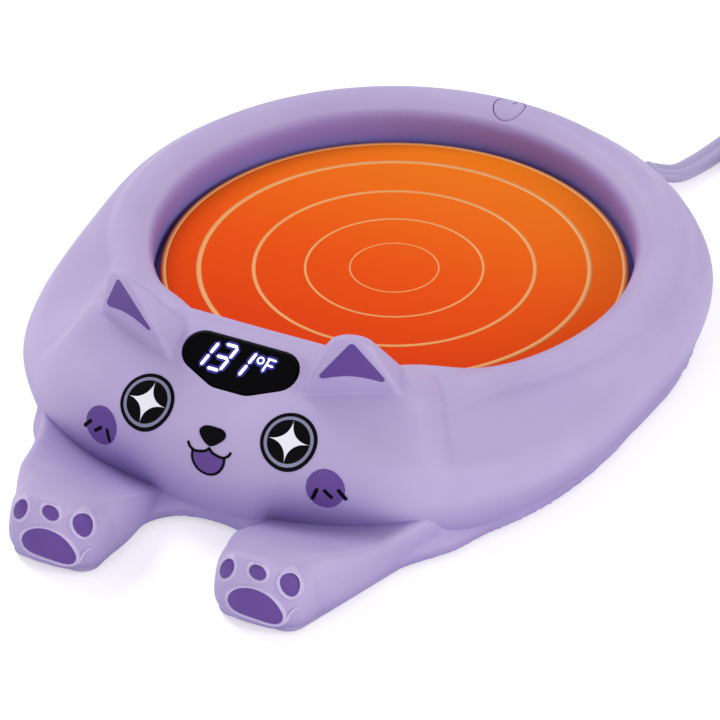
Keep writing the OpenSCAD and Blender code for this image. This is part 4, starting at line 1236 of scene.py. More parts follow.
hotPlate = {
    "radius": plateR, "thick": plateTop - plateLow.z / mm, "edge": 0.5, "steps": 160,
    "rings": (9.5, 19.0, 30.0, 41.7, plateR - 0.85), "ringWidths": (0.34, 0.56, 0.84, 1.1, 0.9),
    "ringHeight": 0.05,
    # the enamel's colours across the plate, with a painted glare that lightens it towards the rear
    "front": rgb(232, 52, 8), "middle": rgb(250, 90, 14), "rear": rgb(255, 134, 28),
}


# The enamel's orange with a painted glare: lighter orange towards the rear, deep red towards the front.
def orangeEnamel():
    material, tree, shader = startMaterial("orangeEnamel")
    link = tree.links.new
    place = addNode(tree, "ShaderNodeTexCoord")
    split = addNode(tree, "ShaderNodeSeparateXYZ")
    glareFade = addNode(tree, "ShaderNodeMapRange")
    glareFade.inputs["From Min"].default_value = (plateY - plateR) * mm
    glareFade.inputs["From Max"].default_value = (plateY + plateR) * mm
    tone = addNode(tree, "ShaderNodeValToRGB")
    tone.color_ramp.elements[0].position = 0.0
    tone.color_ramp.elements[0].color = hotPlate["front"]
    tone.color_ramp.elements[1].position = 1.0
    tone.color_ramp.elements[1].color = hotPlate["rear"]
    tone.color_ramp.elements.new(0.5).color = hotPlate["middle"]
    cover = addNode(tree, "ShaderNodeGroup", node_tree=grain)
    cover.inputs["Scale"].default_value = 1200.0
    gloss = addNode(tree, "ShaderNodeMapRange")
    gloss.inputs["To Min"].default_value = 0.34
    gloss.inputs["To Max"].default_value = 0.42
    relief = addNode(tree, "ShaderNodeBump", in_Strength=0.03, in_Distance=0.0002)
    link(place.outputs["Object"], split.inputs[0])
    link(split.outputs["Y"], glareFade.inputs["Value"])
    link(glareFade.outputs["Result"], tone.inputs["Fac"])
    link(tone.outputs["Color"], shader.inputs["Base Color"])
    link(cover.outputs["Mask"], gloss.inputs["Value"])
    link(gloss.outputs["Result"], shader.inputs["Roughness"])
    link(cover.outputs["Height"], relief.inputs["Height"])
    link(relief.outputs["Normal"], shader.inputs["Normal"])
    shader.inputs["Specular IOR Level"].default_value = 0.03
    return material


enamel = orangeEnamel()
ringPrint = moulded("ringPrint", rgb(255, 170, 92), rgb(255, 186, 112), rgb(248, 146, 72), rough=0.35,
                    bump=0.02, specular=0.25)


def makeHotPlate():
    r, e = hotPlate["radius"], hotPlate["edge"]
    low = plateTop - hotPlate["thick"]
    profile = [(0.001, low), (r - e, low), (r - 0.12, low + 0.14), (r, low + e)]
    for i in range(5):
        a = math.pi / 2 * i / 4
        profile.append((r - e + e * math.cos(a), plateTop - e + e * math.sin(a)))
    profile += [(inner, plateTop) for inner in (r - 2.2, r * 0.75, r * 0.5, r * 0.25, 0.001)]
    points, faces = spun(profile, (0, plateY), hotPlate["steps"])
    obj = addMesh("hotPlate", points, faces, enamel)
    outwards(obj)
    shadeSmooth(obj, 30)
    return finishPiece(obj, "plate", "plate_orange", "heating_plate")


def newSocket(tree, name, kind, way="INPUT"):
    return tree.interface.new_socket(name=name, in_out=way, socket_type="NodeSocket" + kind)


# Geometry Nodes: a printed ring is a circle swept by a flat oblong, and the rings are joined.
def ringTree():
    tree = bpy.data.node_groups.new("printedRings", "GeometryNodeTree")
    newSocket(tree, "Geometry", "Geometry")
    newSocket(tree, "Geometry", "Geometry", "OUTPUT")
    finish = newSocket(tree, "Finish", "Material")
    heights = newSocket(tree, "Height", "Float")
    level = newSocket(tree, "Level", "Vector")
    sockets = []
    for i in range(len(hotPlate["rings"])):
        radius = newSocket(tree, f"Radius {i + 1}", "Float")
        sockets.append((radius, newSocket(tree, f"Width {i + 1}", "Float")))
    into = tree.nodes.new("NodeGroupInput")
    out = tree.nodes.new("NodeGroupOutput")
    join = tree.nodes.new("GeometryNodeJoinGeometry")
    link = tree.links.new
    for radius, width in sockets:
        ringLine = tree.nodes.new("GeometryNodeCurvePrimitiveCircle")
        ringLine.inputs["Resolution"].default_value = hotPlate["steps"]
        profile = tree.nodes.new("GeometryNodeCurvePrimitiveQuadrilateral")
        sweepNode = tree.nodes.new("GeometryNodeCurveToMesh")
        shift = tree.nodes.new("GeometryNodeTransform")
        link(into.outputs[radius.name], ringLine.inputs["Radius"])
        link(into.outputs[width.name], profile.inputs["Width"])
        link(into.outputs["Height"], profile.inputs["Height"])
        link(ringLine.outputs["Curve"], sweepNode.inputs["Curve"])
        link(profile.outputs["Curve"], sweepNode.inputs["Profile Curve"])
        link(sweepNode.outputs["Mesh"], shift.inputs["Geometry"])
        link(into.outputs["Level"], shift.inputs["Translation"])
        link(shift.outputs["Geometry"], join.inputs["Geometry"])
    real = tree.nodes.new("GeometryNodeRealizeInstances")
    paint = tree.nodes.new("GeometryNodeSetMaterial")
    link(join.outputs["Geometry"], real.inputs["Geometry"])
    link(real.outputs["Geometry"], paint.inputs["Geometry"])
    link(into.outputs["Finish"], paint.inputs["Material"])
    link(paint.outputs["Geometry"], out.inputs["Geometry"])
    values = {finish.identifier: ringPrint, heights.identifier: hotPlate["ringHeight"] * mm,
              level.identifier: (0.0, plateY * mm, plateTop * mm)}
    for (radius, width), r, w in zip(sockets, hotPlate["rings"], hotPlate["ringWidths"]):
        values[radius.identifier] = r * mm
        values[width.identifier] = w * mm
    return tree, values


# Runs a tree on an empty mesh and keeps the result as a plain mesh.
def grown(name, tree, values, material):
    obj = addMesh(name, [(0, 0, 0)], [], material)
    work = obj.modifiers.new("grow", "NODES")
    work.node_group = tree
    for identifier, value in values.items():
        work[identifier] = value
    applyModifiers(obj)
    if not obj.data.materials:
        obj.data.materials.append(material)
    outwards(obj)
    return obj


makeHotPlate()
plateRings = grown("plateRings", *ringTree(), ringPrint)
finishPiece(plateRings, "plate", "plate_orange")
print("hot plate done")


lensSmoked = moulded("smokedLens", rgb(4, 4, 6), rgb(8, 8, 10), rgb(3, 3, 4), rough=0.14, roughSpread=0.03,
                     bump=0.0, specular=0.03)


# The readout's own light, very slightly uneven; it also makes the halo's painted glow round the digits.
def glowing(name, colour, level):
    material, tree, shader = startMaterial(name)
    place = addNode(tree, "ShaderNodeTexCoord")
    noise = addNode(tree, "ShaderNodeTexNoise", in_Scale=2500.0)
    tone = addNode(tree, "ShaderNodeValToRGB")
    tone.color_ramp.elements[0].color = tuple(0.93 * c for c in colour[:3]) + (1,)
    tone.color_ramp.elements[1].color = colour
    tree.links.new(place.outputs["Object"], noise.inputs["Vector"])
    tree.links.new(noise.outputs["Fac"], tone.inputs["Fac"])
    tree.links.new(tone.outputs["Color"], shader.inputs["Emission Color"])
    tree.links.new(tone.outputs["Color"], shader.inputs["Base Color"])
    shader.inputs["Emission Strength"].default_value = level
    shader.inputs["Roughness"].default_value = 0.4
    return material


digitWhite = glowing("digitWhite", (0.93, 0.95, 1.0, 1.0), 0.9)
# The halo is a painted glow: a dim blue light round the lit digits.
digitHalo = glowing("digitHalo", (0.008, 0.006, 0.2, 1.0), 0.6)


def makeLens():
    place = windowPlace()
    rings = []
    for depth, grow in ((-window["thick"], -0.05), (-0.6, 0.0), (-0.42, -0.06), (0.0, -0.5)):
        outline = windowOutline(grow, window["edgeSteps"])
        rings.append([place @ Vector((x, y, depth)) for x, y in outline])
    points, faces = loft(rings)
    obj = addMesh("readoutLens", points, faces, lensSmoked)
    outwards(obj)
    shadeSmooth(obj, 24)
    return finishPiece(obj, "casing", "lens_black", "display_window")


# Where a digit's segments start and end, in units of half its width and a quarter of its height.
segments = {
    "a": ((-1, 2), (1, 2)), "b": ((1, 2), (1, 0)), "c": ((1, 0), (1, -2)), "d": ((-1, -2), (1, -2)),
    "e": ((-1, 0), (-1, -2)), "f": ((-1, 2), (-1, 0)), "g": ((-1, 0), (1, 0)),
}
readout = {
    "lift": 0.02, "thick": 0.05, "halo": 1.0, "segmentGap": 0.16, "degreeSteps": 24,
    # lit segments, middle x, middle y, half width, half height, stroke, slant
    "marks": [("bc", -8.4, 0.6, 1.5, 2.95, 0.66, 0.37), ("abgcd", -3.95, 0.6, 1.5, 2.95, 0.66, 0.37),
              ("bc", 0.4, 0.6, 1.5, 2.95, 0.66, 0.37)],
    "letter": [((5.6, 2.9), (7.75, 2.8)), ((6.1, 2.95), (5.45, -0.1)), ((5.9, 1.55), (7.45, 1.45))],
    "letterStroke": 0.42,
    "degree": (4.3, 2.1, 0.68, 0.34),  # x, y, radius, stroke
}


# A bar with pointed ends from a to b, shortened by the gap at each end.
def bar(a, b, width, gap):
    a, b = Vector(a), Vector(b)
    d = (b - a).normalized()
    n = Vector((-d.y, d.x))
    a, b = a + d * gap, b - d * gap
    w = width / 2
    return [a, a + d * w + n * w, b - d * w + n * w, b, b - d * w - n * w, a + d * w - n * w]


def readoutShapes(extra):
    shapes = []
    for name, cx, cy, hw, hh, stroke, slant in readout["marks"]:
        for letter in name:
            (x1, y1), (x2, y2) = segments[letter]
            a = (cx + x1 * hw + slant * y1 * hh / 2, cy + y1 * hh / 2)
            b = (cx + x2 * hw + slant * y2 * hh / 2, cy + y2 * hh / 2)
            shapes.append(bar(a, b, stroke + extra, readout["segmentGap"] - extra / 2))
    for a, b in readout["letter"]:
        shapes.append(bar(a, b, readout["letterStroke"] + extra, -extra / 2))
    return shapes


# "extra" widens every stroke, as for the halo, a painted glow, that lies under the digits.
def makeReadout(name, extra, lift, material):
    place = windowPlace()
    points, faces = [], []

    def slab(shape):
        base = len(points)
        n = len(shape)
        for height in (lift, lift + readout["thick"]):
            points.extend(place @ Vector((p[0], p[1], height)) for p in shape)
        faces.append([base + i for i in range(n)][::-1])
        faces.append([base + n + i for i in range(n)])
        for i in range(n):
            faces.append((base + i, base + (i + 1) % n, base + n + (i + 1) % n, base + n + i))

    for shape in readoutShapes(extra):
        slab(shape)
    cx, cy, r, stroke = readout["degree"]
    steps = readout["degreeSteps"]
    outer, inner = r + stroke / 2 + extra / 2, max(0.02, r - stroke / 2 - extra / 2)
    for i in range(steps):
        a, b = 2 * math.pi * i / steps, 2 * math.pi * (i + 1) / steps
        slab([Vector((cx + outer * math.cos(a), cy + outer * math.sin(a))),
              Vector((cx + outer * math.cos(b), cy + outer * math.sin(b))),
              Vector((cx + inner * math.cos(b), cy + inner * math.sin(b))),
              Vector((cx + inner * math.cos(a), cy + inner * math.sin(a)))])
    obj = addMesh(name, points, faces, material)
    outwards(obj)
    return finishPiece(obj, "casing", "lens_black")


makeLens()
makeReadout("readoutHalo", readout["halo"], 0.0, digitHalo)
makeReadout("readoutDigits", 0.0, readout["thick"] + readout["lift"], digitWhite)
print("readout done")


# Marks follow the skin: they are drawn flat at a place on it and then laid on.
# A place has a level direction, one up the slope, and the way out.
def placeOn(field, x, forward, z):
    at = settle(field, np.array([[x, plateY - forward, z]]), 8, 2.0)
    out = gradientOf(field, at)[0]
    out = out / np.linalg.norm(out)
    level = np.cross((0, 0, 1), out)
    level = level / np.linalg.norm(level)
    return {"field": field, "at": at[0], "level": level, "up": np.cross(out, level), "out": out}


# Flat points of a place, laid on its surface at the given heights over it.
def hug(place, flat, height):
    reach = place.get("reach", 3.5)
    flat = np.asarray(flat, float)
    p = place["at"] + flat[:, :1] * place["level"] + flat[:, 1:2] * place["up"]
    moved = np.zeros(len(flat))
    for _ in range(16):
        value = place["field"](*(p - moved[:, None] * place["out"]).T) - height
        moved = np.clip(moved + value * 0.85, -reach, reach)
    p = p - moved[:, None] * place["out"]
    far = np.abs(place["field"](*p.T) - height) > 0.03
    if far.any():
        nearest = settle(lambda x, y, z: place["field"](x, y, z) - height, p, 6, 1.0)
        p = np.where(far[:, None], nearest, p)
    return p


# A thin closed piece over rows of flat points; each row has its own height.
def patch(place, rows, heights, closed=True, sink=0.25):
    count = len(rows[0])
    flat = [point for row in rows for point in row]
    top = hug(place, flat, np.repeat(np.asarray(heights, float), count))
    low = hug(place, flat, -sink)
    size = len(flat)
    faces = []
    for i in range(len(rows) - 1):
        for j in range(count if closed else count - 1):
            a, b = i * count + j, i * count + (j + 1) % count
            quad = (a, b, b + count, a + count)
            faces.append(quad)
            faces.append(tuple(size + v for v in reversed(quad)))
    for row in (0, len(rows) - 1):
        for j in range(count if closed else count - 1):
            a, b = row * count + j, row * count + (j + 1) % count
            faces.append((b, a, a + size, b + size) if row == 0 else (a, b, b + size, a + size))
    if not closed:
        for i in range(len(rows) - 1):
            a, b = i * count, (i + 1) * count
            faces.append((a, b, b + size, a + size))
            a, b = a + count - 1, b + count - 1
            faces.append((b, a, a + size, b + size))
    return np.concatenate([top, low]), faces


def joined(parts):
    points, faces = [], []
    for some, more in parts:
        base = len(points)
        points.extend(some)
        faces.extend(tuple(base + v for v in face) for face in more)
    return points, faces


def makeMark(name, parts, material, slotName, body="casing", angle=50):
    points, faces = joined(parts)
    obj = addMesh(name, points, faces, material)
    outwards(obj)
    shadeSmooth(obj, angle)
    return finishPiece(obj, body, slotName)


def scaled(outline, centre, share):
    cx, cy = centre
    return [(cx + (x - cx) * share, cy + (y - cy) * share) for x, y in outline]


# A filled shape: rows shrink from the outline towards a centre.
def filled(place, outline, centre, height, rows=6, dome=0.0):
    shares = [i / rows for i in range(rows + 1)]
    heights = [height + dome * (1 - share ** 2) for share in shares]
    return patch(place, [scaled(outline, centre, share) for share in shares], heights)


# A band between two sizes of one outline.
def between(place, outline, centre, outer, inner, height):
    rows = [scaled(outline, centre, inner + (outer - inner) * i / 3) for i in range(4)]
    return patch(place, rows, [height] * 4)


# A ribbon of one width with round ends along a smooth path, or between two points.
def stroke(place, points, width, height, steps=8):
    if len(points) > 2:
        path = catmull(points, steps)
    else:
        start, end = np.array(points)
        path = np.array([mix(start, end, i / steps) for i in range(steps + 1)])
    slope = np.gradient(path, axis=0)
    slope = slope / np.linalg.norm(slope, axis=1)[:, None]
    half = width / 2
    ends = [-math.cos(math.pi / 2 * i / 5) for i in range(5)]
    start = [(path[0] + slope[0] * half * e, slope[0], math.sqrt(1 - e * e)) for e in ends]
    end = [(path[-1] - slope[-1] * half * e, slope[-1], math.sqrt(1 - e * e)) for e in reversed(ends)]
    middle = [(p, d, 1.0) for p, d in zip(path, slope)]
    rows = []
    for side in (-1, -0.5, 0, 0.5, 1):
        rows.append([(p[0] - d[1] * half * side * max(k, 0.02), p[1] + d[0] * half * side * max(k, 0.02))
                     for p, d, k in start + middle + end])
    return patch(place, rows, [height] * 5, closed=False)


def oval(centre, a, b, turn, steps=40):
    cx, cy = centre
    c, s = math.cos(math.radians(turn)), math.sin(math.radians(turn))
    return [(cx + x * a * c - y * b * s, cy + x * a * s + y * b * c) for x, y in circle(1, steps)]


# A closed smooth outline through a few points.
def smoothLoop(points, steps=5):
    around = [points[-1]] + list(points) + [points[0], points[1]]
    return [tuple(p) for p in catmull(around, steps)[steps:-2 * steps]]


face = {
    "print": 0.1, "layer": 0.03,
    "eyeX": 16.4, "eyeForward": 82.3, "eyeZ": 25.0, "eyeR": 6.1, "greyRing": (0.87, 0.76), "pupil": 0.76,
    "starPower": 3.8, "starSteps": 64,
    "noseForward": 84.7, "noseZ": 22.9, "mouthForward": 87.0, "mouthZ": 17.4, "line": 0.56,
    "nose": [(0, 1.9), (-1.3, 1.85), (-2.4, 1.5), (-3.0, 0.7), (-2.8, -0.2), (-2.0, -1.1), (-1.0, -1.9),
             (0, -2.25), (1.0, -1.9), (2.0, -1.1), (2.8, -0.2), (3.0, 0.7), (2.4, 1.5), (1.3, 1.85)],
    "lip": [(0, 3.3), (0.75, 2.6), (1.9, 2.2), (2.95, 2.05), (3.7, 2.2), (4.5, 2.8), (4.85, 3.45)],
    "chin": [(3.65, 2.1), (3.6, 0.6), (2.95, -0.85), (1.8, -2.0), (0, -2.5)],
    "cheekX": 26.0, "cheekForward": 84.6, "cheekZ": 17.5, "cheekA": 4.1, "cheekB": 4.3, "cheekTurn": 15,
    "dashWidth": 0.82,
    "dashes": [((-2.6, -2.45), (-1.8, -0.35)), ((-0.1, -0.4), (1.3, -1.65)), ((2.8, 0.0), (4.3, -1.7))],
}


def flipped(points, side):
    return [(x * side, y) for x, y in points]


def makeEyes():
    base, ring, stars = [], [], []
    power = face["starPower"]
    star = [(math.copysign(abs(c) ** power, c), math.copysign(abs(s) ** power, s))
            for c, s in circle(1, face["starSteps"])]
    low, step = face["print"], face["layer"]
    for side in (-1, 1):
        place = placeOn(skinField, side * face["eyeX"], face["eyeForward"], face["eyeZ"])
        rim = circle(face["eyeR"], 64)
        base.append(filled(place, rim, (0, 0), low, 8))
        ring.append(between(place, rim, (0, 0), *face["greyRing"], low + step))
        reach = face["eyeR"] * face["pupil"]
        stars.append(filled(place, [(x * reach, y * reach) for x, y in star], (0, 0), low + step, 7))
    makeMark("eyeDiscs", base, darkPrint, "lens_black")
    makeMark("eyeRings", ring, greyPrint, "lens_black")
    makeMark("eyeStars", stars, whitePrint, "lens_black")


def makeNoseAndMouth():
    low, step = face["print"], face["layer"]
    nosePlace = placeOn(skinField, 0, face["noseForward"], face["noseZ"])
    mouthPlace = placeOn(skinField, 0, face["mouthForward"], face["mouthZ"])
    lines = [filled(nosePlace, smoothLoop(face["nose"]), (0, 0.1), low + step, 6)]
    for side in (-1, 1):
        lines.append(stroke(mouthPlace, flipped(face["lip"], side), face["line"], low + step))
    rounded = face["chin"] + [(-x, y) for x, y in face["chin"][-2::-1]]
    lines.append(stroke(mouthPlace, rounded, face["line"], low + step))
    makeMark("noseAndMouth", lines, darkPrint, "lens_black")
    tongue = catmull(rounded, 6).tolist() + catmull(flipped(face["lip"][:4], -1)[::-1], 5).tolist()
    tongue += catmull(face["lip"][:4], 5).tolist()[1:]
    makeMark("tongue", [filled(mouthPlace, tongue, (0, 0.4), low, 6)], purplePrint, "print_purple")


def makeCheeks():
    patches, dashes = [], []
    dashHeight = face["print"] + face["layer"]
    for side in (-1, 1):
        place = placeOn(skinField, side * face["cheekX"], face["cheekForward"], face["cheekZ"])
        outline = oval((0, 0), face["cheekA"], face["cheekB"], face["cheekTurn"] * side)
        patches.append(filled(place, outline, (0, 0), face["print"]))
        for pair in face["dashes"]:
            dashes.append(stroke(place, flipped(pair, side), face["dashWidth"], dashHeight))
    makeMark("cheeks", patches, purplePrint, "print_purple")
    makeMark("cheekDashes", dashes, darkPrint, "lens_black")


makeEyes()
makeNoseAndMouth()
makeCheeks()
print("face done")


innerEar = {
    # top, left, middle of the lower edge, right
    "points": [(0.3, 12.6), (-5.9, 3.3), (0.0, 4.5), (6.1, 3.2)],
    "centre": (0.1, 6.8), "round": 0.75, "height": 0.08,
}


# The ear's own front face: "v" runs up it, as it leans forward.
def earPlace(side):
    turn = math.radians(ear["turn"])
    out = np.array([side * math.sin(turn), -math.cos(turn), 0.0])
    level = np.array([math.cos(turn), side * math.sin(turn), 0.0])
    up = np.array([0, 0, 1.0]) + out * ear["lean"]
    up = up / np.linalg.norm(up)
    at = np.array([side * ear["x"], plateY - ear["forward"], ear["footZ"]])
    return {"field": skinField, "at": at, "level": level, "up": up, "out": np.cross(level, up)}


# A triangle with round corners and a lower edge that bows up.
def innerEarOutline(side):
    top, left, middle, right = innerEar["points"]
    r = innerEar["round"]
    loop = []
    for (x, y), start, end in ((top, 35, 145), (left, 145, 275), (right, -95, 35)):
        for i in range(7):
            a = math.radians(start + (end - start) * i / 6)
            loop.append((x + r * math.cos(a), y + r * math.sin(a)))
        if (x, y) == left:
            for i in range(1, 10):
                t = i / 10
                loop.append((mix(left[0], right[0], t), mix(left[1], right[1], t) - r
                             + (middle[1] - left[1]) * math.sin(math.pi * t)))
    loop = [(x * side, y) for x, y in loop]
    return loop if side > 0 else loop[::-1]


def makeInnerEars():
    parts = []
    cx, cy = innerEar["centre"]
    for side in (-1, 1):
        parts.append(filled(earPlace(side), innerEarOutline(side), (cx * side, cy), innerEar["height"], 8))
    makeMark("innerEars", parts, purplePrint, "print_purple")


makeInnerEars()
print("inner ears done")


paw = {
    "height": 9.0, "reach": 5.0, "dome": 0.28, "edge": 0.05,
    "lipWidth": 0.85, "lipHeight": 0.36, "lipInside": 0.12, "lipRows": 9, "lipLimit": 8.25,
    "palm": [(-5.35, -3.1), (-4.85, -1.3), (-3.5, 0.4), (-1.55, 1.55), (1.05, 2.05), (3.5, 1.55), (5.25, 0.1),
             (6.5, -2.0), (7.0, -3.7), (6.7, -5.05), (5.8, -5.75), (4.6, -5.8), (1.9, -5.45), (-1.05, -5.25),
             (-3.4, -4.85), (-4.8, -4.15)],
    "palmMiddle": (0.8, -2.6),
    # middle, half width, half height, turn
    "toes": [((-5.5, 4.6), 1.45, 3.3, -30.0), ((1.85, 6.35), 1.95, 1.85, 0.0),
             ((7.95, 3.75), 1.35, 2.85, 18.0)],
    "crease": [(6.9, -5.5), (7.65, -4.85), (8.2, -3.3), (8.8, -2.35), (9.4, -2.05)],
    "creaseWidth": 0.5, "creaseHigh": 0.16,
}
# The pad lips are the body's own plastic; their lighter colour is a painted highlight on the raised lips.
padLip = moulded("padLip", rgb(200, 187, 226), rgb(208, 197, 230), rgb(160, 140, 196), rough=0.45,
                 specular=0.3, coat=0.05)


# A raised lip round a pad. It stops below the top of the paw, where the skin turns away.
def lipAround(place, outline):
    rows, heights = [], []
    for i in range(paw["lipRows"]):
        share = i / (paw["lipRows"] - 1)
        wide = spread(outline, (share - paw["lipInside"]) * paw["lipWidth"])
        rows.append([(u, min(v, paw["lipLimit"])) for u, v in wide])
        heights.append(paw["lipHeight"] * math.sin(math.pi * min(1, share * 1.04)) ** 0.8 - 0.03)
    return patch(place, rows, heights)


def makePads():
    pads, lips = [], []
    for side in (-1, 1):
        place = placeOn(legField, side * leg["x"], leg["front"], paw["height"])
        place["reach"] = paw["reach"]
        outlines = [(smoothLoop(paw["palm"], 4), paw["palmMiddle"])]
        outlines += [(oval(middle, a, b, turn), middle) for middle, a, b, turn in paw["toes"]]
        for outline, middle in outlines:
            pads.append(filled(place, outline, middle, paw["edge"], 6, paw["dome"]))
            lips.append(lipAround(place, outline))
        lips.append(stroke(place, paw["crease"], paw["creaseWidth"], paw["creaseHigh"]))
    makeMark("pawPads", pads, purplePrint, "print_purple")
    makeMark("padLips", lips, padLip, "body_lavender")


makePads()
print("paw pads done")
keyInk = moulded("keyInk", rgb(128, 108, 160), rgb(140, 120, 170), rgb(110, 92, 142), rough=0.5)


# The key's rows run from its middle out to its rounded edge, each with its height over the skin.
def makeKey():
    place = {"field": bodyField, "at": np.array([0, keyY, body["ringTop"]]), "level": np.array([1.0, 0, 0]),
             "up": np.array([0, 1.0, 0]), "out": np.array([0, 0, 1.0])}
    shares = [0, 0.2, 0.4, 0.6, 0.8, 0.93, 0.98, 1.0]
    heights = [0.06, 0.06, 0.06, 0.06, 0.05, 0.02, -0.06, -0.2]
    cap = patch(place, [circle(key["r"] * share, 56) for share in shares], heights, sink=key["deep"])
    powerKey = makeMark("powerKey", [cap], lavender, "body_lavender", "key", 40)
    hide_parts("power_button")
    tick = stroke(place, key["tick"], key["tickWidth"], key["tickHigh"])
    makeMark("keyTick", [tick], keyInk, "print_purple", "key")


makeKey()
bowlFloor = {"inner": body["bowlR"] - 3, "outer": body["bowlR"] + 1, "top": plateTop - 3.5, "thick": 1.5,
             "edge": 0.3, "steps": 120}


# The flat ring at the bowl's foot, which the springs and the carrier pass through.
def makeBowlFloor():
    inner, outer, top, edge = bowlFloor["inner"], bowlFloor["outer"], bowlFloor["top"], bowlFloor["edge"]
    low = top - bowlFloor["thick"]
    profile = [(inner, low), (outer, low), (outer, top), (inner + edge, top), (inner, top - edge),
               (inner, low)]
    points, faces = spun(profile, (0, plateY), bowlFloor["steps"])
    obj = addMesh("bowlFloor", points, faces, lavender)
    outwards(obj)
    shadeSmooth(obj, 30)
    finishPiece(obj, "casing", "body_lavender")


makeBowlFloor()
print("key and bowl floor done")


# The small fuse's tube.
def clearGlass():
    material, tree, shader = startMaterial("fuseGlass")
    place = addNode(tree, "ShaderNodeTexCoord")
    noise = addNode(tree, "ShaderNodeTexNoise", in_Scale=500.0)
    gloss = addNode(tree, "ShaderNodeMapRange")
    gloss.inputs["To Min"].default_value = 0.02
    gloss.inputs["To Max"].default_value = 0.08
    tree.links.new(place.outputs["Object"], noise.inputs["Vector"])
    tree.links.new(noise.outputs["Fac"], gloss.inputs["Value"])
    tree.links.new(gloss.outputs["Result"], shader.inputs["Roughness"])
    shader.inputs["Base Color"].default_value = (0.9, 0.94, 0.95, 1)
    shader.inputs["Transmission Weight"].default_value = 1.0
    return material


# The finish of each piece that is carried over as the solids have it.
dressing = [
    (coverLavender, ["bottom_cover"]),
    (blackPlastic, ["led_display", "plate_carrier", "temperature_sensor", "weight_switch", "switch_plunger",
                    "capacitor", "button_switch", "cable_clamp"]),
    (boardGreen, ["display_board", "main_board", "button_board"]),
    (steel, ["thermal_fuse", "carrier_screws", "plate_springs", "board_screws", "clamp_screws"]),
    (relayBlue, ["relay", "mains_terminal"]),
    (windingYellow, ["transformer"]),
    (clearGlass(), ["mains_fuse"]),
    (aluminium, ["heat_spreader"]),
    (mica, ["heater_element"]),
    (fibre, ["insulation_pad"]),
    (wireRed, ["heater_leads"]),
    (wireWhite, ["button_leads"]),
    (wireBlue, ["mains_leads"]),
    (ribbonGrey, ["display_ribbon"]),
    (bladeMetal, ["plug_blades"]),
]
for material, names in dressing:
    for name in names:
        inner = nodes[name]
        if not inner.data.materials:
            inner.data.materials.append(material)
        for slot in inner.material_slots:
            slot.material = material
print("inner pieces dressed")


# Geometry Nodes: copies of one moulded piece on the points of the modifier's own mesh.
def copiesTree():
    tree = bpy.data.node_groups.new("copiesOnPoints", "GeometryNodeTree")
    newSocket(tree, "Geometry", "Geometry")
    newSocket(tree, "Geometry", "Geometry", "OUTPUT")
    pattern = newSocket(tree, "Pattern", "Object")
    size = newSocket(tree, "Size", "Float")
    finish = newSocket(tree, "Finish", "Material")
    into = tree.nodes.new("NodeGroupInput")
    out = tree.nodes.new("NodeGroupOutput")
    info = tree.nodes.new("GeometryNodeObjectInfo")
    spots = tree.nodes.new("GeometryNodeMeshToPoints")
    copies = tree.nodes.new("GeometryNodeInstanceOnPoints")
    real = tree.nodes.new("GeometryNodeRealizeInstances")
    paint = tree.nodes.new("GeometryNodeSetMaterial")
    link = tree.links.new
    link(into.outputs["Geometry"], spots.inputs["Mesh"])
    link(into.outputs["Pattern"], info.inputs["Object"])
    link(spots.outputs["Points"], copies.inputs["Points"])
    link(info.outputs["Geometry"], copies.inputs["Instance"])
    link(into.outputs["Size"], copies.inputs["Scale"])
    link(copies.outputs["Instances"], real.inputs["Geometry"])
    link(real.outputs["Geometry"], paint.inputs["Geometry"])
    link(into.outputs["Finish"], paint.inputs["Material"])
    link(paint.outputs["Geometry"], out.inputs["Geometry"])
    return tree, {"pattern": pattern.identifier, "size": size.identifier, "finish": finish.identifier}


copiesOnPoints, copiesInputs = copiesTree()


def copiesOf(name, pattern, spots, material, angle):
    obj = addMesh(name, spots, [], material)
    work = obj.modifiers.new("copies", "NODES")
    work.node_group = copiesOnPoints
    work[copiesInputs["pattern"]] = pattern
    work[copiesInputs["size"]] = 1.0
    work[copiesInputs["finish"]] = material
    applyModifiers(obj)
    bpy.data.objects.remove(pattern)
    outwards(obj)
    shadeSmooth(obj, angle)
    return obj


screw = {
    "headR": 2.5, "headHigh": 1.2, "shankR": 1.3, "point": 0.8, "dome": 0.22, "steps": 64,
    "crossWide": 0.42, "crossReach": 1.45, "crossDeep": 0.75,
    "headRows": (0.0, 0.2, 0.36, 0.44, 0.7, 1.0, 1.25, 1.42, 1.5, 1.9, 2.3),
    # the shell's four screws: their directions from the plate's middle, off straight ahead, and how far
    # off straight back the rear two stand, from which their circle is worked out
    "turns": (-135, -58, 58, 135), "rearTurn": 45,
}


# A screw seen from below: its head's face is at z = 0 and the shank runs up.
def screwPattern(length):
    s = screw
    rows = []
    for r in s["headRows"]:
        row = []
        for x, y in circle(r, s["steps"]):
            inCross = r < s["crossReach"] and min(abs(x), abs(y)) < s["crossWide"]
            sunk = s["crossDeep"] * (1 - 0.5 * r / s["crossReach"])
            row.append((x, y, sunk if inCross else s["dome"] * (r / s["headR"]) ** 2))
        rows.append(row)
    for r, z in ((s["headR"], s["dome"] + 0.15), (s["headR"], s["headHigh"]), (s["shankR"], s["headHigh"]),
                 (s["shankR"], length - s["point"]), (0.2, length)):
        rows.append([(x, y, z) for x, y in circle(r, s["steps"])])
    points, faces = loft(rows, capped=False)
    faces.append(tuple((len(rows) - 1) * s["steps"] + j for j in range(s["steps"])))
    return addMesh("screwPattern", points, faces, steel)


foot = {
    "r": 5.0, "edge": 0.5, "dish": 0.25, "dishR": 3.1, "steps": 48,
    # the front feet lie this far behind the paws' front, the rear ones beside and behind the plate's middle
    "frontBack": 13, "rearX": 29, "rearBack": 44,
}


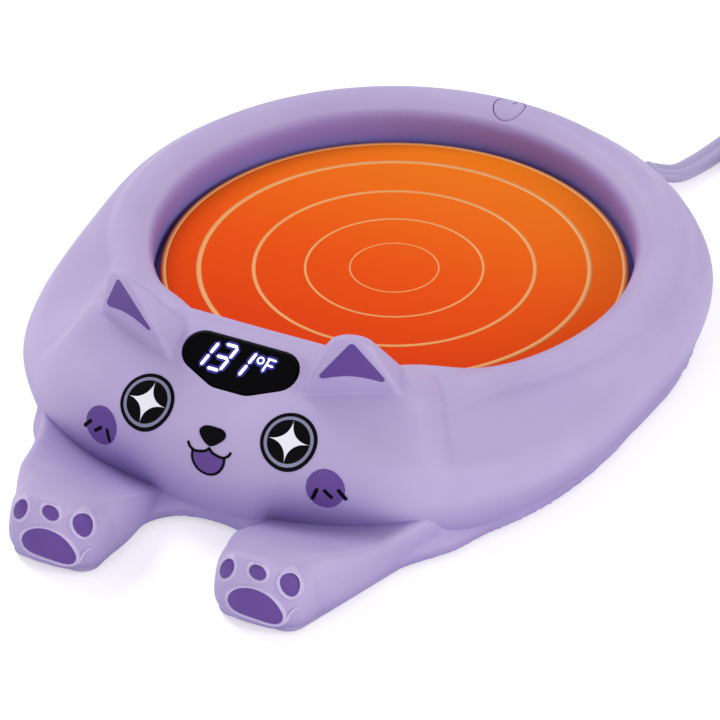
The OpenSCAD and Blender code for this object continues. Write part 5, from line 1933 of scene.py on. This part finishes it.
def footPattern():
    low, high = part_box("rubber_feet")
    tall = (high.z - low.z) / mm
    r, edge, dish, dishR = foot["r"], foot["edge"], foot["dish"], foot["dishR"]
    profile = [(0.0, dish), (dishR - 0.6, dish), (dishR - 0.15, 0.08), (dishR + 0.2, 0.0), (r - edge, 0.0),
               (r - 0.15, 0.15), (r - 0.02, edge), (r - 0.02, tall), (0.0, tall)]
    points, faces = spun(profile, (0, 0), foot["steps"])
    return addMesh("footPattern", points, faces, footRubber)


def makeScrews(name, node, spots, length):
    screws = copiesOf(name, screwPattern(length), spots, steel, 28)
    finishPiece(screws, "casing", "steel", node)


def makeFasteners():
    low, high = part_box("shell_screws")
    back = (high.y - plateY * mm) / mm - screw["headR"]
    r = back / math.cos(math.radians(screw["rearTurn"]))
    turns = [math.radians(turn) for turn in screw["turns"]]
    spots = [(r * math.sin(turn), plateY - r * math.cos(turn), low.z / mm) for turn in turns]
    makeScrews("shellScrews", "shell_screws", spots, (high.z - low.z) / mm)
    low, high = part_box("leg_screws")
    aside = high.x / mm - screw["headR"]
    spots = [(side * aside, (low.y + high.y) / 2 / mm, low.z / mm) for side in (-1, 1)]
    makeScrews("legScrews", "leg_screws", spots, (high.z - low.z) / mm)
    front, rear = plateY - leg["front"] + foot["frontBack"], plateY + foot["rearBack"]
    spots = [(-leg["x"], front, 0), (leg["x"], front, 0), (-foot["rearX"], rear, 0), (foot["rearX"], rear, 0)]
    feet = copiesOf("rubberFeet", footPattern(), spots, footRubber, 35)
    finishPiece(feet, "casing", "foot_rubber", "rubber_feet")


springs = {"travel": 0.8, "smooth": 70}


# The coils that the plate sinks on, copied into a mesh of their own.
def makeSprings():
    mesh = nodes["plate_springs"].data
    points = [tuple(v.co / mm) for v in mesh.vertices]
    coils = addMesh("plateSprings", points, [tuple(f.vertices) for f in mesh.polygons], steel)
    outwards(coils)
    shadeSmooth(coils, springs["smooth"])
    finishPiece(coils, "casing", "steel", "plate_springs")
    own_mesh(coils)


makeFasteners()
makeSprings()
print("screws, feet and springs done")
